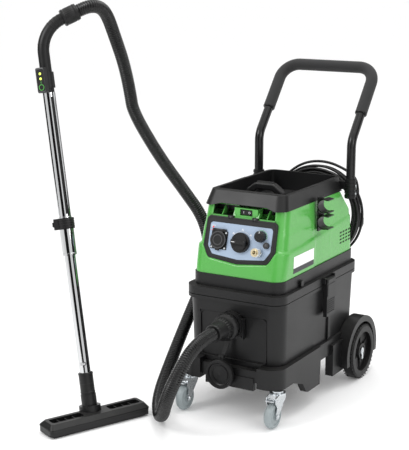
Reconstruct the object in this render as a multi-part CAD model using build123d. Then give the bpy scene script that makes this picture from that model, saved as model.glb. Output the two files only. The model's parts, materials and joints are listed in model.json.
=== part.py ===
from build123d import *
import math
import os

os.makedirs("parts", exist_ok=True)

# Shop vacuum. Millimetres, +Z up, front towards -Y, origin on the floor under the tank's middle.

# ---- tank and chassis ----
TANK_HALF_WIDTH = 152.0      # at the lip
TANK_FRONT = -252.0
TANK_REAR = 262.0
TANK_DRAFT = 6.0             # how much narrower each side is at the floor of the tank
TANK_WALL = 6.0
TANK_FLOOR_Z = 130.0
LIP_Z = 338.0                # underside of the lip
LIP_TOP_Z = 347.0
LIP_OUT = 5.5                # how far the lip and the head's flange stand out
TANK_CORNER = 42.0
GASKET = 2.0
INLET_Z = 275.0
INLET_BORE = 26.3
CHASSIS_WALL = 11.0
CHASSIS_TOP_Z = 152.0
CHASSIS_LOW_Z = 118.0
FOOT_LOW_Z = 50.0            # underside of the side feet
BLOCK_TOP_Z = 165.0          # corner blocks and side walls
SIT_GAP = 0.4                # clearance between pieces that sit in each other

# ---- wheels ----
REAR_WHEEL_R = 86.5
REAR_WHEEL_WIDTH = 38.0
REAR_WHEEL_FACE_X = 195.0
REAR_AXLE_Y = 234.0
AXLE_R = 6.0
RUNNING = 0.06               # radial running clearance
ARCH_R = 112.5
ARCH_GAP = 7.0
CASTER_X = 144.0
CASTER_Y = -250.0
CASTER_TRAIL = 28.0
CASTER_WHEEL_R = 37.5
CASTER_WHEEL_WIDTH = 24.0
CASTER_TOP_Z = 106.0
STEM_R = 5.0

# ---- head ----
FLANGE_Z = LIP_TOP_Z + GASKET
FLANGE_TOP_Z = 372.0
COVER_Z = 408.0
COVER_HALF_WIDTH = 141.0
COVER_FRONT = -236.0
COVER_REAR = 257.0
COVER_TOP_Z = 598.0
COVER_TOP_HALF = 130.0
COVER_TILT = 15.0            # lean of the front face, degrees
COVER_WALL = 3.0
TRAY_TOP_Z = 640.0
TRAY_FLOOR_Z = 582.0
TRAY_REAR = 204.0
PANEL_Z = 508.0
LATCH_Y = 38.0
LATCH_WIDTH = 58.0
LATCH_LOW_Z = 252.0
LATCH_PIN_Z = 362.0
LATCH_PIN_OUT = 5.0
LATCH_PIN_R = 2.5
CLIP_R = 18.0
CLIP_LENGTH = 38.0
CLIP_Y = -12.0
COIL_Z = 500.0
COIL_OUTER = 160.0
COIL_INNER = 112.0
COIL_Y = 292.0
COIL_HALF = 22.0
CABLE_R = 4.25

# ---- push handle ----
HANDLE_X = 156.0
HANDLE_Y = 188.0
HANDLE_R = 13.5
HANDLE_KNEE_Z = 749.0
HANDLE_TOP_Y = 358.0
HANDLE_TOP_Z = 953.0
FOAM_R = 18.0

# ---- wand and floor tool, along the wand's own axis ----
WAND_FOOT = (-325.7, -496.5, 45.0)
WAND_DIR = (-0.1934, 0.0837, 0.9775)
BEND_DIR = (0.75, 0.66, 0.0)
LOWER_R = 16.0
UPPER_R = 17.5
UPPER_BORE = 16.4
SLEEVE_R = 20.5
ELBOW_S = 36.0
TUBE_S = 98.0
SLEEVE_S = 433.0
COLLAR_S = 507.0
COLLAR_LENGTH = 31.0
UPPER_END_S = 891.0
BEND_S = 1001.0
BEND_R = 97.0
BEND_ANGLE = 70.0
GRIP_R = 16.5
CUFF_R = 23.5
CUFF_LENGTH = 46.0
TOOL_LENGTH = 320.0
TOOL_DEPTH = 76.0
TOOL_CENTRE = (-302.4, -503.5)
TOOL_AXIS = (0.404, 0.915)

# ---- suction hose, from the inlet connector to the wand's cuff ----
HOSE_R = 19.0
HOSE_BORE = 16.5
CONNECTOR_END = -365.0

# ---- cap, tray, control panel, cable and the parts inside ----
CAP_HINGE = (-19.0, -281.0, 181.0)
CAP_R = 42.5
FLAT_TILT = math.tan(math.radians(COVER_TILT))
TRAY_HALF = 112.0
TRAY_FRONT = -150.0
RECESS_LOW_Z = 572.0
PANEL = Plane(origin=(0, COVER_FRONT + FLAT_TILT * (PANEL_Z - COVER_Z), PANEL_Z), x_dir=(1, 0, 0),
              z_dir=(0, -math.cos(math.radians(COVER_TILT)), math.sin(math.radians(COVER_TILT))))
PANEL_OUTLINE = [(-112, 62), (112, 62), (115, -26), (96, -58), (0, -68), (-96, -58), (-115, -26)]
PANEL_CORNER = 13.0
SHEET_CORNER = 9.0
SHEET_OUTLINE = [(-100, 44), (100, 44), (100, -22), (84, -47), (0, -55), (-84, -47), (-100, -24)]
SOCKET = (-66.0, -6.0)
SELECTOR = (5.0, -6.0)
SPEED = (66.0, 18.0)
RESET = (87.0, -5.0)
COUPLER = (66.0, -28.0)
COUPLER_BORE = 5.2
GLAND_X = 24.0
GLAND_Z = 470.0
TAIL_POINTS = [(98, 307, 618), (108, 320, 602), (117, 330, 572), (119, 333, 528)]
MOTOR_Y = 20.0
FILTER_Y = (-100.0, 60.0)
FLOAT_Y = 190.0
REMOTE_S = 926.0


def section(half_width, front, rear, z, corner):
    """A rounded rectangle lying level at height z."""
    flat = RectangleRounded(2 * half_width, rear - front, corner)
    return Pos(0, (front + rear) / 2, z) * flat


def block(x0, x1, y0, y1, z0, z1, corner=0.0):
    """A box between two corners, its upright edges rounded."""
    if corner:
        flat = RectangleRounded(x1 - x0, y1 - y0, corner)
    else:
        flat = Rectangle(x1 - x0, y1 - y0)
    return extrude(Pos((x0 + x1) / 2, (y0 + y1) / 2, z0) * flat, z1 - z0)


def rod(start, direction, radius, length, bore=0.0):
    """A round bar or tube from a start point along a direction."""
    flat = Circle(radius)
    if bore:
        flat = flat - Circle(bore)
    plane = Plane(origin=start, z_dir=direction)
    return plane.location * extrude(flat, length)


def strap(start, end, width, thick):
    """A flat bar between two points, its width along X."""
    way = Vector(*end) - Vector(*start)
    plane = Plane(origin=start, x_dir=(1, 0, 0), z_dir=way)
    return plane.location * extrude(Rectangle(width, thick), way.length)


def turned(points, start, direction):
    """A solid turned about its axis from (radius, height) points."""
    profile = make_face(Polyline(*[(r, 0, h) for r, h in points], close=True))
    plane = Plane(origin=start, z_dir=direction)
    return plane.location * revolve(profile, Axis.Z)


def save(node, *pieces):
    """Write one node as the separate solids of its pieces."""
    solids = []
    for piece in pieces:
        solids += piece.solids()
    whole = solids[0] if len(solids) == 1 else Compound(solids)
    export_step(whole, f"parts/{node}.step")


# ======== tank and chassis ========

def tank_outer(shrink=0.0):
    low = section(TANK_HALF_WIDTH - TANK_DRAFT - shrink, TANK_FRONT + TANK_DRAFT + shrink,
                  TANK_REAR - TANK_DRAFT - shrink, TANK_FLOOR_Z, TANK_CORNER - shrink)
    high = section(TANK_HALF_WIDTH - shrink, TANK_FRONT + shrink, TANK_REAR - shrink,
                   LIP_TOP_Z, TANK_CORNER - shrink)
    return loft([low, high])


def flange_ring(z0, z1):
    """The step that the tank's lip and the head's flange share."""
    return extrude(section(TANK_HALF_WIDTH + LIP_OUT, TANK_FRONT - 2 * LIP_OUT,
                           TANK_REAR + LIP_OUT, z0, TANK_CORNER), z1 - z0)


def make_tank():
    outer = tank_outer() + flange_ring(LIP_Z, LIP_TOP_Z)
    for side in (-1, 1):
        edge = side * (TANK_HALF_WIDTH - 1)
        rib = block(min(edge, edge - side * 6), max(edge, edge - side * 6),
                    LATCH_Y + 20, LATCH_Y + 34, BLOCK_TOP_Z + 1, LATCH_LOW_Z + 20)
        outer += rib
    inner = tank_outer(TANK_WALL) - block(-400, 400, -400, 400, 0, TANK_FLOOR_Z + TANK_WALL)
    opening = extrude(section(TANK_HALF_WIDTH - TANK_WALL, TANK_FRONT + TANK_WALL,
                              TANK_REAR - TANK_WALL, LIP_Z, TANK_CORNER - TANK_WALL), 20)
    tank = outer - inner - opening
    window = block(-108, 108, TANK_FRONT - 4, TANK_FRONT + 30, 168, 303)
    tank -= (tank_outer() - tank_outer(3)) & window
    tank -= rod((0, TANK_FRONT - 20, INLET_Z), (0, 1, 0), INLET_BORE + 4 + SIT_GAP, 40)
    save("tank_shell", tank)


def make_gasket():
    ring = extrude(section(TANK_HALF_WIDTH - 0.5, TANK_FRONT + 0.5, TANK_REAR - 0.5,
                           LIP_TOP_Z, TANK_CORNER), GASKET - 0.2)
    hole = extrude(section(TANK_HALF_WIDTH - TANK_WALL + 0.5, TANK_FRONT + TANK_WALL - 0.5,
                           TANK_REAR - TANK_WALL + 0.5, LIP_TOP_Z, TANK_CORNER - TANK_WALL), GASKET)
    save("tank_gasket", ring - hole)


def make_chassis():
    half = TANK_HALF_WIDTH - TANK_DRAFT
    front = TANK_FRONT + TANK_DRAFT
    rear = TANK_REAR - TANK_DRAFT
    body = block(-half - CHASSIS_WALL, half + CHASSIS_WALL, front - 2 * CHASSIS_WALL,
                 rear + CHASSIS_WALL, CHASSIS_LOW_Z, CHASSIS_TOP_Z, TANK_CORNER)
    frame = block(-half - CHASSIS_WALL - 5, half + CHASSIS_WALL + 5, front - 3 * CHASSIS_WALL,
                  rear + CHASSIS_WALL, CHASSIS_LOW_Z - 12, BLOCK_TOP_Z, TANK_CORNER + 6)
    corners = block(92, 200, -300, -178, 90, 170) + block(-200, -92, -300, -178, 90, 170)
    body += frame & corners
    body += block(-78, 78, front - 2 * CHASSIS_WALL - 3, front - CHASSIS_WALL, 94, 130)
    arch_in = half + 3
    for side in (-1, 1):
        def at(x0, x1, *rest):
            return block(min(side * x0, side * x1), max(side * x0, side * x1), *rest)
        body += at(half - 4, half + CHASSIS_WALL, -180, 190, CHASSIS_LOW_Z, BLOCK_TOP_Z)
        band = [(-230, BLOCK_TOP_Z), (-230, 107), (-186, 106), (-124, 84), (-102, FOOT_LOW_Z + 4),
                (-90, FOOT_LOW_Z), (-12, FOOT_LOW_Z), (-6, BLOCK_TOP_Z)]
        skirt = extrude(make_face(Polyline(*[(0, y, z) for y, z in band], close=True)),
                        CHASSIS_WALL + 9, dir=(side, 0, 0))
        body += Pos(side * (half - 4), 0, 0) * skirt
        body += at(half - 4, half + CHASSIS_WALL + 10, 68, 142, FOOT_LOW_Z, 147)
        body += at(118, half + 4, REAR_AXLE_Y - 24, REAR_AXLE_Y + 24, 66, CHASSIS_LOW_Z + 4)
        x_dir = (side, 0, 0)
        hub = (side * arch_in, REAR_AXLE_Y, REAR_WHEEL_R)
        width = REAR_WHEEL_FACE_X - 5 - arch_in
        arch = rod(hub, x_dir, ARCH_R, width)
        arch -= rod((side * (arch_in + 4), REAR_AXLE_Y, REAR_WHEEL_R), x_dir,
                    REAR_WHEEL_R + ARCH_GAP, width)
        arch -= block(-300, 300, -50, 500, -60, 62)
        body += arch
        body -= rod((side * CASTER_X, CASTER_Y, 60), (0, 0, 1), STEM_R + RUNNING,
                    TANK_FLOOR_Z - 66)
    pocket = block(-half - 1, half + 1, front - 1, rear + 1, TANK_FLOOR_Z - SIT_GAP, 400,
                   TANK_CORNER)
    body -= pocket
    body -= tank_outer(-SIT_GAP)
    body -= rod((-300, REAR_AXLE_Y, REAR_WHEEL_R), (1, 0, 0), AXLE_R + 0.1, 600)
    save("chassis_base", body)


def make_rear_axle():
    end = REAR_WHEEL_FACE_X - 3
    axle = rod((-end, REAR_AXLE_Y, REAR_WHEEL_R), (1, 0, 0), AXLE_R, 2 * end)
    clips = []
    for side in (-1, 1):
        clip = rod((side * (end - 2.5), REAR_AXLE_Y, REAR_WHEEL_R), (side, 0, 0), 11, 1.5, AXLE_R)
        clips.append(clip)
    save("rear_axle", axle, *clips)


def make_rear_wheel(side, node):
    inner = REAR_WHEEL_FACE_X - REAR_WHEEL_WIDTH
    r = REAR_WHEEL_R
    w = REAR_WHEEL_WIDTH
    bore = AXLE_R + RUNNING
    points = [(bore, 0), (22, 0), (26, 10), (62, 10), (66, 2), (r - 8, 0), (r - 1.5, 6), (r, 14),
              (r, w - 14), (r - 1.5, w - 6), (r - 8, w), (67, w), (62, w - 13), (26, w - 16),
              (23, w - 7), (bore, w - 7)]
    wheel = turned(points, (side * inner, REAR_AXLE_Y, r), (side, 0, 0))
    save(node, wheel)


def make_caster(side, name):
    x = side * CASTER_X
    wy = CASTER_Y - CASTER_TRAIL
    top = CASTER_TOP_Z
    half = CASTER_WHEEL_WIDTH / 2
    fork = rod((x, CASTER_Y, top - 12), (0, 0, 1), 23, 4)
    fork += rod((x, CASTER_Y, top - 8.5), (0, 0, 1), 17, 6)
    fork += rod((x, CASTER_Y, top - 4), (0, 0, 1), STEM_R, 20)
    outline = [(CASTER_Y + 20, top - 9), (CASTER_Y + 21, top - 26), (wy + 11, 40),
               (wy + 7, 29), (wy - 7, 29), (wy - 10, 42), (wy - 3, 62), (wy - 10, 74),
               (wy - 10, top - 14), (CASTER_Y - 20, top - 9)]
    cheek = extrude(make_face(Polyline(*[(0, y, z) for y, z in outline], close=True)), 2.5,
                    dir=(1, 0, 0))
    fork += Pos(x + half + 1.5, 0, 0) * cheek
    fork += Pos(x - half - 4, 0, 0) * cheek
    fork += block(x - half - 4, x + half + 4, CASTER_Y - 18, CASTER_Y + 16, top - 12, top - 8)
    fork += rod((x - half - 6, wy, CASTER_WHEEL_R), (1, 0, 0), AXLE_R - 1, 2 * half + 12)
    fork -= rod((x - 40, wy - 2, top - 23), (1, 0, 0), 3.4, 80)
    save(f"caster_fork_{name}", fork)
    r = CASTER_WHEEL_R
    w = CASTER_WHEEL_WIDTH
    points = [(AXLE_R - 1 + RUNNING, 0), (12, 0), (13, 2), (25, 3), (27, 1), (r - 4, 1.5),
              (r, 8), (r, w - 8), (r - 4, w - 1.5), (27, w - 1), (25, w - 3), (13, w - 2),
              (12, w), (AXLE_R - 1 + RUNNING, w)]
    save(f"caster_wheel_{name}", turned(points, (x - half, wy, r), (1, 0, 0)))
    pin = (x - half - 4.4, wy - 2, top - 23)
    brake = rod(pin, (1, 0, 0), 3, 2 * half + 8.8)
    brake += strap((x, wy - 2, top - 23), (x, wy - 22, top - 21), 2 * half - 1, 3)
    brake += strap((x, wy - 21, top - 21), (x, wy - 24, top - 20), 2 * half, 2.5)
    save(f"caster_brake_{name}", brake)


# ======== inlet, cap and hose ========

def make_inlet():
    y = TANK_FRONT + 0.6
    flange = block(-40, 40, y - 12, y, INLET_Z - 38, INLET_Z + 22)
    flange += block(-26, 26, y - 12, y, INLET_Z, INLET_Z + 31)
    flange += rod((0, y - 24, INLET_Z), (0, 1, 0), 37, 24)
    flange += rod((0, y - 4, INLET_Z), (0, 1, 0), INLET_BORE + 4, 22)
    flange += strap((-4, y - 9, INLET_Z - 34), (CAP_HINGE[0], CAP_HINGE[1] + 4, CAP_HINGE[2]),
                    13, 2.4)
    flange += rod((CAP_HINGE[0], CAP_HINGE[1] - 3, CAP_HINGE[2]), (0, 1, 0), 3, 8)
    flange -= rod((0, y - 40, INLET_Z), (0, 1, 0), INLET_BORE, 90)
    save("inlet_flange", flange)
    low = CAP_HINGE[2] - 5 - CAP_R
    face = CAP_HINGE[1] - 3
    points = [(0, 0), (CAP_R - 4, 0), (CAP_R, 4), (CAP_R, 14), (CAP_R - 3, 17), (CAP_R - 7, 17),
              (CAP_R - 9, 11), (CAP_R - 12, 9), (0, 11)]
    cap = turned(points, (CAP_HINGE[0], face + 3, low), (0, -1, 0))
    cap += block(CAP_HINGE[0] - 8, CAP_HINGE[0] + 8, face - 1, face + 2.6, low + 36,
                 CAP_HINGE[2] + 7)
    cap -= rod((CAP_HINGE[0], face - 30, CAP_HINGE[2]), (0, 1, 0), 3.3, 60)
    save("inlet_cap", cap)


def make_connector():
    start = TANK_FRONT + 12
    length = start - CONNECTOR_END
    nose = INLET_BORE - 0.3
    collar = 38
    points = [(HOSE_BORE, 0), (nose, 0), (nose, collar - 0.3), (35, collar - 0.3), (38, collar + 4),
              (38, collar + 18), (33, collar + 24), (31, collar + 34), (25, length - 8),
              (23.5, length), (HOSE_BORE, length)]
    save("inlet_connector", turned(points, (0, start, INLET_Z), (0, -1, 0)))


def wand_frame():
    d = Vector(*WAND_DIR).normalized()
    g = Vector(*BEND_DIR)
    across = (g - d * g.dot(d)).normalized()
    return Plane(origin=WAND_FOOT, x_dir=across, z_dir=d)


WAND = wand_frame()


def on_wand(w, n, s):
    """A point in the wand's frame: w towards the bend, n across it, s along the tube."""
    return WAND.from_local_coords(Vector(w, n, s))


def bend_end(extra=0.0):
    """The end of the handle's bend, plus a length straight on, and its direction."""
    a = math.radians(BEND_ANGLE)
    w = BEND_R * (1 - math.cos(a)) + extra * math.sin(a)
    s = BEND_S + BEND_R * math.sin(a) + extra * math.cos(a)
    way = WAND.x_dir * math.sin(a) + WAND.z_dir * math.cos(a)
    return on_wand(w, 0, s), way


def hose_points():
    """The hose's route; its two ends are the connector and the cuff."""
    cuff, way = bend_end(CUFF_LENGTH + 1)
    return [
        (0, CONNECTOR_END - 0.3, INLET_Z),
        (0, CONNECTOR_END - 90, INLET_Z),
        (-20, -524, 196),
        (-62, -510, 112),
        (-105, -459, 48),
        (-155, -401, 20),
        (-203, -329, 45),
        (-236, -209, 108),
        (-238, -118, 204),
        (-233, -28, 306),
        (-229, 12, 408),
        (-240, -8, 508),
        (-290, -38, 592),
        (-358, -75, 700),
        (-424, -112, 832),
        (-427, -121, 885),
        (-431, -132, 939),
        (-437, -145, 991),
        (-441, -164, 1036),
        (-440, -188, 1076),
        (-435, -214, 1110),
        (-430, -242, 1135),
        (-429.5, -269, 1148.5),
        (-434.5, -294, 1152),
        tuple(cuff + way * 24),
        tuple(cuff),
    ]


def corner_radii(points):
    """The largest arc that each corner's two runs allow."""
    radii = []
    for a, b, c in zip(points, points[1:], points[2:]):
        first = Vector(*b) - Vector(*a)
        second = Vector(*c) - Vector(*b)
        half_turn = math.radians(first.get_angle(second)) / 2
        run = min(first.length, second.length)
        radii.append(0.45 * run / math.tan(half_turn))
    return radii


def cord(points, radius, bore=0.0):
    """A tube along straight runs joined by tangent arcs."""
    radii = corner_radii(points)
    path = FilletPolyline(*points, radius=radii)
    flat = Circle(radius)
    area = math.pi * radius ** 2
    if bore:
        flat = flat - Circle(bore)
        area -= math.pi * bore ** 2
    plane = Plane(origin=points[0], z_dir=path % 0)
    tube = sweep(plane * flat, path=path)
    print("radii", [round(r) for r in radii], "length", round(path.length),
          "volume ratio", round(tube.volume / area / path.length, 4))
    return tube


def make_hose():
    save("suction_hose", cord(hose_points(), HOSE_R, HOSE_BORE))
    start, way = bend_end(1.0)
    cuff = rod(start, way, CUFF_R, CUFF_LENGTH, HOSE_BORE)
    cuff -= rod(start - way, way, GRIP_R + 0.3, CUFF_LENGTH - 8)
    save("hose_cuff", cuff)


# ======== head ========

def cover_section(z, shrink=0.0):
    """The cover's outline at a height: the front leans back, the sides draw in."""
    t = (z - COVER_Z) / (COVER_TOP_Z - COVER_Z)
    half = COVER_HALF_WIDTH + (COVER_TOP_HALF - COVER_HALF_WIDTH) * t
    front = COVER_FRONT + FLAT_TILT * (z - COVER_Z)
    return section(half - shrink, front + shrink, COVER_REAR - 3 * t - shrink, z, 32 - shrink)


def make_skirt():
    top = extrude(section(COVER_HALF_WIDTH + 4, COVER_FRONT - 6, COVER_REAR + 3, FLANGE_TOP_Z, 36),
                  COVER_Z - FLANGE_TOP_Z)
    room = extrude(section(COVER_HALF_WIDTH - 1, COVER_FRONT - 1, COVER_REAR - 2,
                           FLANGE_TOP_Z + 4, 32), 60)
    skirt = flange_ring(FLANGE_Z, FLANGE_TOP_Z) + top - room
    skirt -= extrude(section(TANK_HALF_WIDTH - 8, TANK_FRONT + 8, TANK_REAR - 8, FLANGE_Z - 1, 32),
                     FLANGE_TOP_Z - FLANGE_Z - 3)
    skirt -= rod((0, MOTOR_Y, FLANGE_Z), (0, 0, 1), 62, 60)
    for side in (-1, 1):
        x = side * (TANK_HALF_WIDTH + LIP_OUT)
        pin = x + side * LATCH_PIN_OUT
        for y in (LATCH_Y - LATCH_WIDTH / 2 - 4, LATCH_Y + LATCH_WIDTH / 2 + 4):
            skirt += block(min(x - side * 3, pin + side * 4), max(x - side * 3, pin + side * 4),
                           y - 3, y + 3, 353, 371)
        skirt += rod((pin, LATCH_Y - LATCH_WIDTH / 2 - 6, LATCH_PIN_Z), (0, 1, 0), LATCH_PIN_R,
                     LATCH_WIDTH + 12)
    save("head_skirt", skirt)


def make_latch(side, node):
    x = side * (TANK_HALF_WIDTH + LIP_OUT)
    y0 = LATCH_Y - LATCH_WIDTH / 2
    y1 = LATCH_Y + LATCH_WIDTH / 2
    near = x + side * 0.8
    pin = x + side * LATCH_PIN_OUT
    far = x + side * 13
    plate = block(min(near, far), max(near, far), y0, y1, LATCH_LOW_Z, 354)
    barrel = rod((pin, y0, LATCH_PIN_Z), (0, 1, 0), 4.4, LATCH_WIDTH)
    arm = block(min(pin, far), max(pin, far), y0, y1, 350, LATCH_PIN_Z + 4)
    latch = plate + arm + barrel
    latch -= rod((pin, y0 - 9, LATCH_PIN_Z), (0, 1, 0), LATCH_PIN_R + RUNNING, LATCH_WIDTH + 20)
    save(node, latch)


def make_cover():
    levels = [COVER_Z + 0.3, COVER_TOP_Z]
    outer = loft([cover_section(z) for z in levels])
    inner = loft([cover_section(z, COVER_WALL) for z in levels])
    keep = block(-400, 400, -400, 400, 0, COVER_TOP_Z - COVER_WALL)
    cover = outer - (inner & keep)
    well = block(-TRAY_HALF - 4, TRAY_HALF + 4, TRAY_FRONT - 4, TRAY_REAR + 60, 560, 700)
    cover -= well
    slope = Polyline((0, 168, COVER_TOP_Z + 60), (0, 168, COVER_TOP_Z), (0, 236, 530), (0, 300, 514),
                     (0, 300, COVER_TOP_Z + 60), close=True)
    cover -= Pos(-200, 0, 0) * extrude(make_face(slope), 400, dir=(1, 0, 0))
    cover -= panel_block(PANEL_OUTLINE, -40, 2, 0.3, PANEL_CORNER)
    cover -= front_recess()
    cover += rocker_box()
    cover -= rod((GLAND_X, COVER_REAR - 20, GLAND_Z), (0, 1, 0), 14.2, 40)
    return cover


def panel_block(outline, low, high, grow=0.0, corner=0.0):
    """A slab on the control panel's plane, between two heights over it."""
    flat = make_face(Polyline(*outline, close=True))
    if corner:
        flat = fillet(flat.vertices(), corner)
    if grow:
        flat = offset(flat, grow)
    return (PANEL.offset(low)).location * extrude(flat, high - low)


def panel_point(u, v, h=0.0):
    return PANEL.from_local_coords(Vector(u, v, h))


def panel_rod(u, v, low, high, radius, bore=0.0):
    return rod(panel_point(u, v, low), PANEL.z_dir, radius, high - low, bore)


def front_recess():
    return block(-104, 104, -300, TRAY_FRONT - 7, RECESS_LOW_Z, COVER_TOP_Z - COVER_WALL + 10)


def rocker_box():
    box = block(-30, 44, -190, TRAY_FRONT - 8, RECESS_LOW_Z - 2, COVER_TOP_Z - 1)
    box -= block(-13, 27, -200, -176, 576, 594)
    return box


def make_panel():
    sheet_low = 3.0
    bezel = panel_block(PANEL_OUTLINE, -8, 5, 0, PANEL_CORNER)
    bezel -= panel_block(SHEET_OUTLINE, sheet_low, 20, 0.3, SHEET_CORNER)
    bezel -= panel_block(PANEL_OUTLINE, -30, -3, -4.0, PANEL_CORNER)
    sheet = panel_block(SHEET_OUTLINE, sheet_low, sheet_low + 1.2, 0, SHEET_CORNER)
    socket_hole = panel_rod(*SOCKET, -30, 30, 25)
    holes = [(SELECTOR, 6.4), (SPEED, 4.4), (RESET, 7.4), (COUPLER, 10.3)]
    bezel -= socket_hole
    sheet -= socket_hole
    for (u, v), r in holes:
        bezel -= panel_rod(u, v, -30, 30, r)
        sheet -= panel_rod(u, v, -30, 30, r)
    save("control_bezel", bezel)
    save("panel_sheet", sheet)
    u, v = SOCKET
    plate_low = sheet_low + 1.2
    square = [(u - 25, v + 25.5), (u + 26, v + 25.5), (u + 26, v - 26), (u - 25, v - 26)]
    body = panel_block(square, plate_low, plate_low + 3)
    body += panel_rod(u, v, -26, plate_low + 3, 24.6)
    body -= panel_rod(u, v, -16, 30, 21)
    for lug in (-21, 13):
        body += panel_block([(u + lug, v + 32), (u + lug + 8, v + 32), (u + lug + 8, v + 25),
                             (u + lug, v + 25)], plate_low, plate_low + 8)
    pin = panel_point(u - 21, v + 29, plate_low + 5)
    body += rod(pin, (1, 0, 0), 1.5, 42)
    body -= panel_rod(u, v, plate_low + 3.05, 30, 25.4)
    save("socket_body", body)
    lid = panel_rod(u, v, plate_low + 3.3, plate_low + 9, 25)
    lid += panel_rod(u, v, plate_low + 8.9, plate_low + 10.5, 21)
    lid += rod(panel_point(u - 12, v + 29, plate_low + 5), (1, 0, 0), 3, 24)
    lid += panel_block([(u - 12, v + 29), (u + 12, v + 29), (u + 12, v + 18), (u - 12, v + 18)],
                       plate_low + 4, plate_low + 8)
    lid += panel_block([(u - 6, v - 22), (u + 6, v - 22), (u + 6, v - 30), (u - 6, v - 30)],
                       plate_low + 4, plate_low + 8)
    lid -= rod(pin, (1, 0, 0), 1.5 + RUNNING, 42)
    lid -= panel_block([(u - 13, v + 34), (u + 13, v + 34), (u + 13, v + 25.4), (u - 13, v + 25.4)],
                       plate_low - 2, plate_low + 1.6)
    save("socket_lid", lid)


def make_controls():
    top = 4.2
    u, v = SELECTOR
    knob = panel_rod(u, v, top + 0.4, top + 9, 28.5)
    knob += panel_rod(u, v, -20, top + 1, 6)
    knob += panel_rod(u, v, top + 9, top + 12, 23)
    bar = [(u - 23, v + 6), (u + 23, v + 6), (u + 23, v - 6), (u - 23, v - 6)]
    knob += panel_block(bar, top + 11, top + 22)
    save("selector_knob", knob)
    u, v = SPEED
    knob = panel_rod(u, v, top + 0.4, top + 14, 15)
    knob += panel_rod(u, v, -18, top + 1, 4)
    save("speed_knob", knob)
    u, v = RESET
    button = panel_rod(u, v, top + 2.4, top + 8, 9)
    button += panel_rod(u, v, -12, top + 3, 7)
    save("reset_button", button)
    u, v = COUPLER
    body = panel_rod(u, v, -25, top + 16, 10, 6.2)
    body += panel_rod(u, v, top + 16, top + 33, 8.2, COUPLER_BORE)
    body += panel_rod(u, v, -25, top + 13, 8, COUPLER_BORE + 1)
    save("coupler_body", body)
    sleeve = panel_rod(u, v, top + 18.5, top + 30, 12, 8.2 + RUNNING)
    save("coupler_sleeve", sleeve)
    rocker = block(-12.4, 26.4, -186, -178, 577.6, 592.4)
    rocker += rod((-12.8, -180, 585), (1, 0, 0), 1.8, 39.6)
    save("rocker_switch", rocker)


def make_tray():
    low = section(COVER_TOP_HALF + 1.5, COVER_FRONT + FLAT_TILT * (COVER_TOP_Z - COVER_Z) - 14,
                  TRAY_REAR, COVER_TOP_Z + 0.4, 30)
    high = section(COVER_TOP_HALF - 9, -178, TRAY_REAR - 4, TRAY_TOP_Z, 26)
    tray = loft([low, high])
    tray += block(-TRAY_HALF - 3, TRAY_HALF + 3, TRAY_FRONT - 3, TRAY_REAR - 2, TRAY_FLOOR_Z - 3,
                  COVER_TOP_Z + 3, 14)
    tray -= block(-TRAY_HALF + 2, TRAY_HALF - 2, TRAY_FRONT, TRAY_REAR - 14, TRAY_FLOOR_Z, 800, 14)
    tray += block(-12, 12, -152, TRAY_FRONT + 6, TRAY_FLOOR_Z, 600)
    arch = Polyline((-104, 0, 560), (-104, 0, 598), (-72, 0, 607), (72, 0, 607), (104, 0, 598),
                    (104, 0, 560), close=True)
    tray -= Pos(0, -162, 0) * extrude(make_face(arch), 90, dir=(0, -1, 0))
    save("storage_tray", tray)


def make_carry_handle():
    points = [(-52, -60, TRAY_FLOOR_Z + 0.4), (-50, -60, 622), (-26, -60, 640), (26, -60, 640),
              (50, -60, 622), (52, -60, TRAY_FLOOR_Z + 0.4)]
    path = FilletPolyline(*points, radius=12)
    plane = Plane(origin=points[0], z_dir=path % 0)
    handle = sweep(plane * RectangleRounded(20, 26, 5), path=path)
    handle += block(-68, -38, -80, -40, TRAY_FLOOR_Z + 0.2, TRAY_FLOOR_Z + 6)
    handle += block(38, 68, -80, -40, TRAY_FLOOR_Z + 0.2, TRAY_FLOOR_Z + 6)
    handle -= block(-100, 100, -100, 0, 500, TRAY_FLOOR_Z + 0.2)
    save("carry_handle", handle)


def handle_route(low, drop):
    """The push handle's route from a height on one leg, over the bar, to the other."""
    if low:
        leg = [(HANDLE_X, HANDLE_Y, low), (HANDLE_X, HANDLE_Y, HANDLE_KNEE_Z)]
    else:
        top = Vector(HANDLE_X, HANDLE_TOP_Y, HANDLE_TOP_Z)
        knee = Vector(HANDLE_X, HANDLE_Y, HANDLE_KNEE_Z)
        leg = [tuple(top + (knee - top).normalized() * drop)]
    leg.append((HANDLE_X, HANDLE_TOP_Y, HANDLE_TOP_Z))
    return leg + [(-x, y, z) for x, y, z in reversed(leg)]


def make_push_handle():
    points = handle_route(584, 0)
    path = FilletPolyline(*points, radius=[60, 55, 55, 60])
    tube = sweep(Plane(origin=points[0], z_dir=path % 0) * (Circle(HANDLE_R) - Circle(HANDLE_R - 2)),
                 path=path)
    save("push_handle", tube)
    points = handle_route(0, 165)
    path = FilletPolyline(*points, radius=[55, 55])
    ring = Circle(FOAM_R) - Circle(HANDLE_R + 0.15)
    save("handle_foam", sweep(Plane(origin=points[0], z_dir=path % 0) * ring, path=path))
    sockets = []
    for side in (-1, 1):
        x = side * HANDLE_X
        collar = rod((x, HANDLE_Y, 577), (0, 0, 1), 15.6, 60)
        for i in range(5):
            collar += rod((x, HANDLE_Y, 580 + 12 * i), (0, 0, 1), 17.5, 7)
        near = side * 121
        mid = side * (HANDLE_X - 8)
        collar += block(min(near, mid), max(near, mid), HANDLE_Y - 12, HANDLE_Y + 12, 604, 628)
        collar -= rod((x, HANDLE_Y, 583.8), (0, 0, 1), HANDLE_R + 0.1, 80)
        tray_side = loft([
            section(COVER_TOP_HALF + 1.9, -200, TRAY_REAR + 0.4, COVER_TOP_Z + 0.4, 30),
            section(COVER_TOP_HALF - 8.6, -178, TRAY_REAR - 3.6, TRAY_TOP_Z, 26)])
        collar -= tray_side
        sockets.append(collar)
    save("handle_sockets", *sockets)


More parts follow.
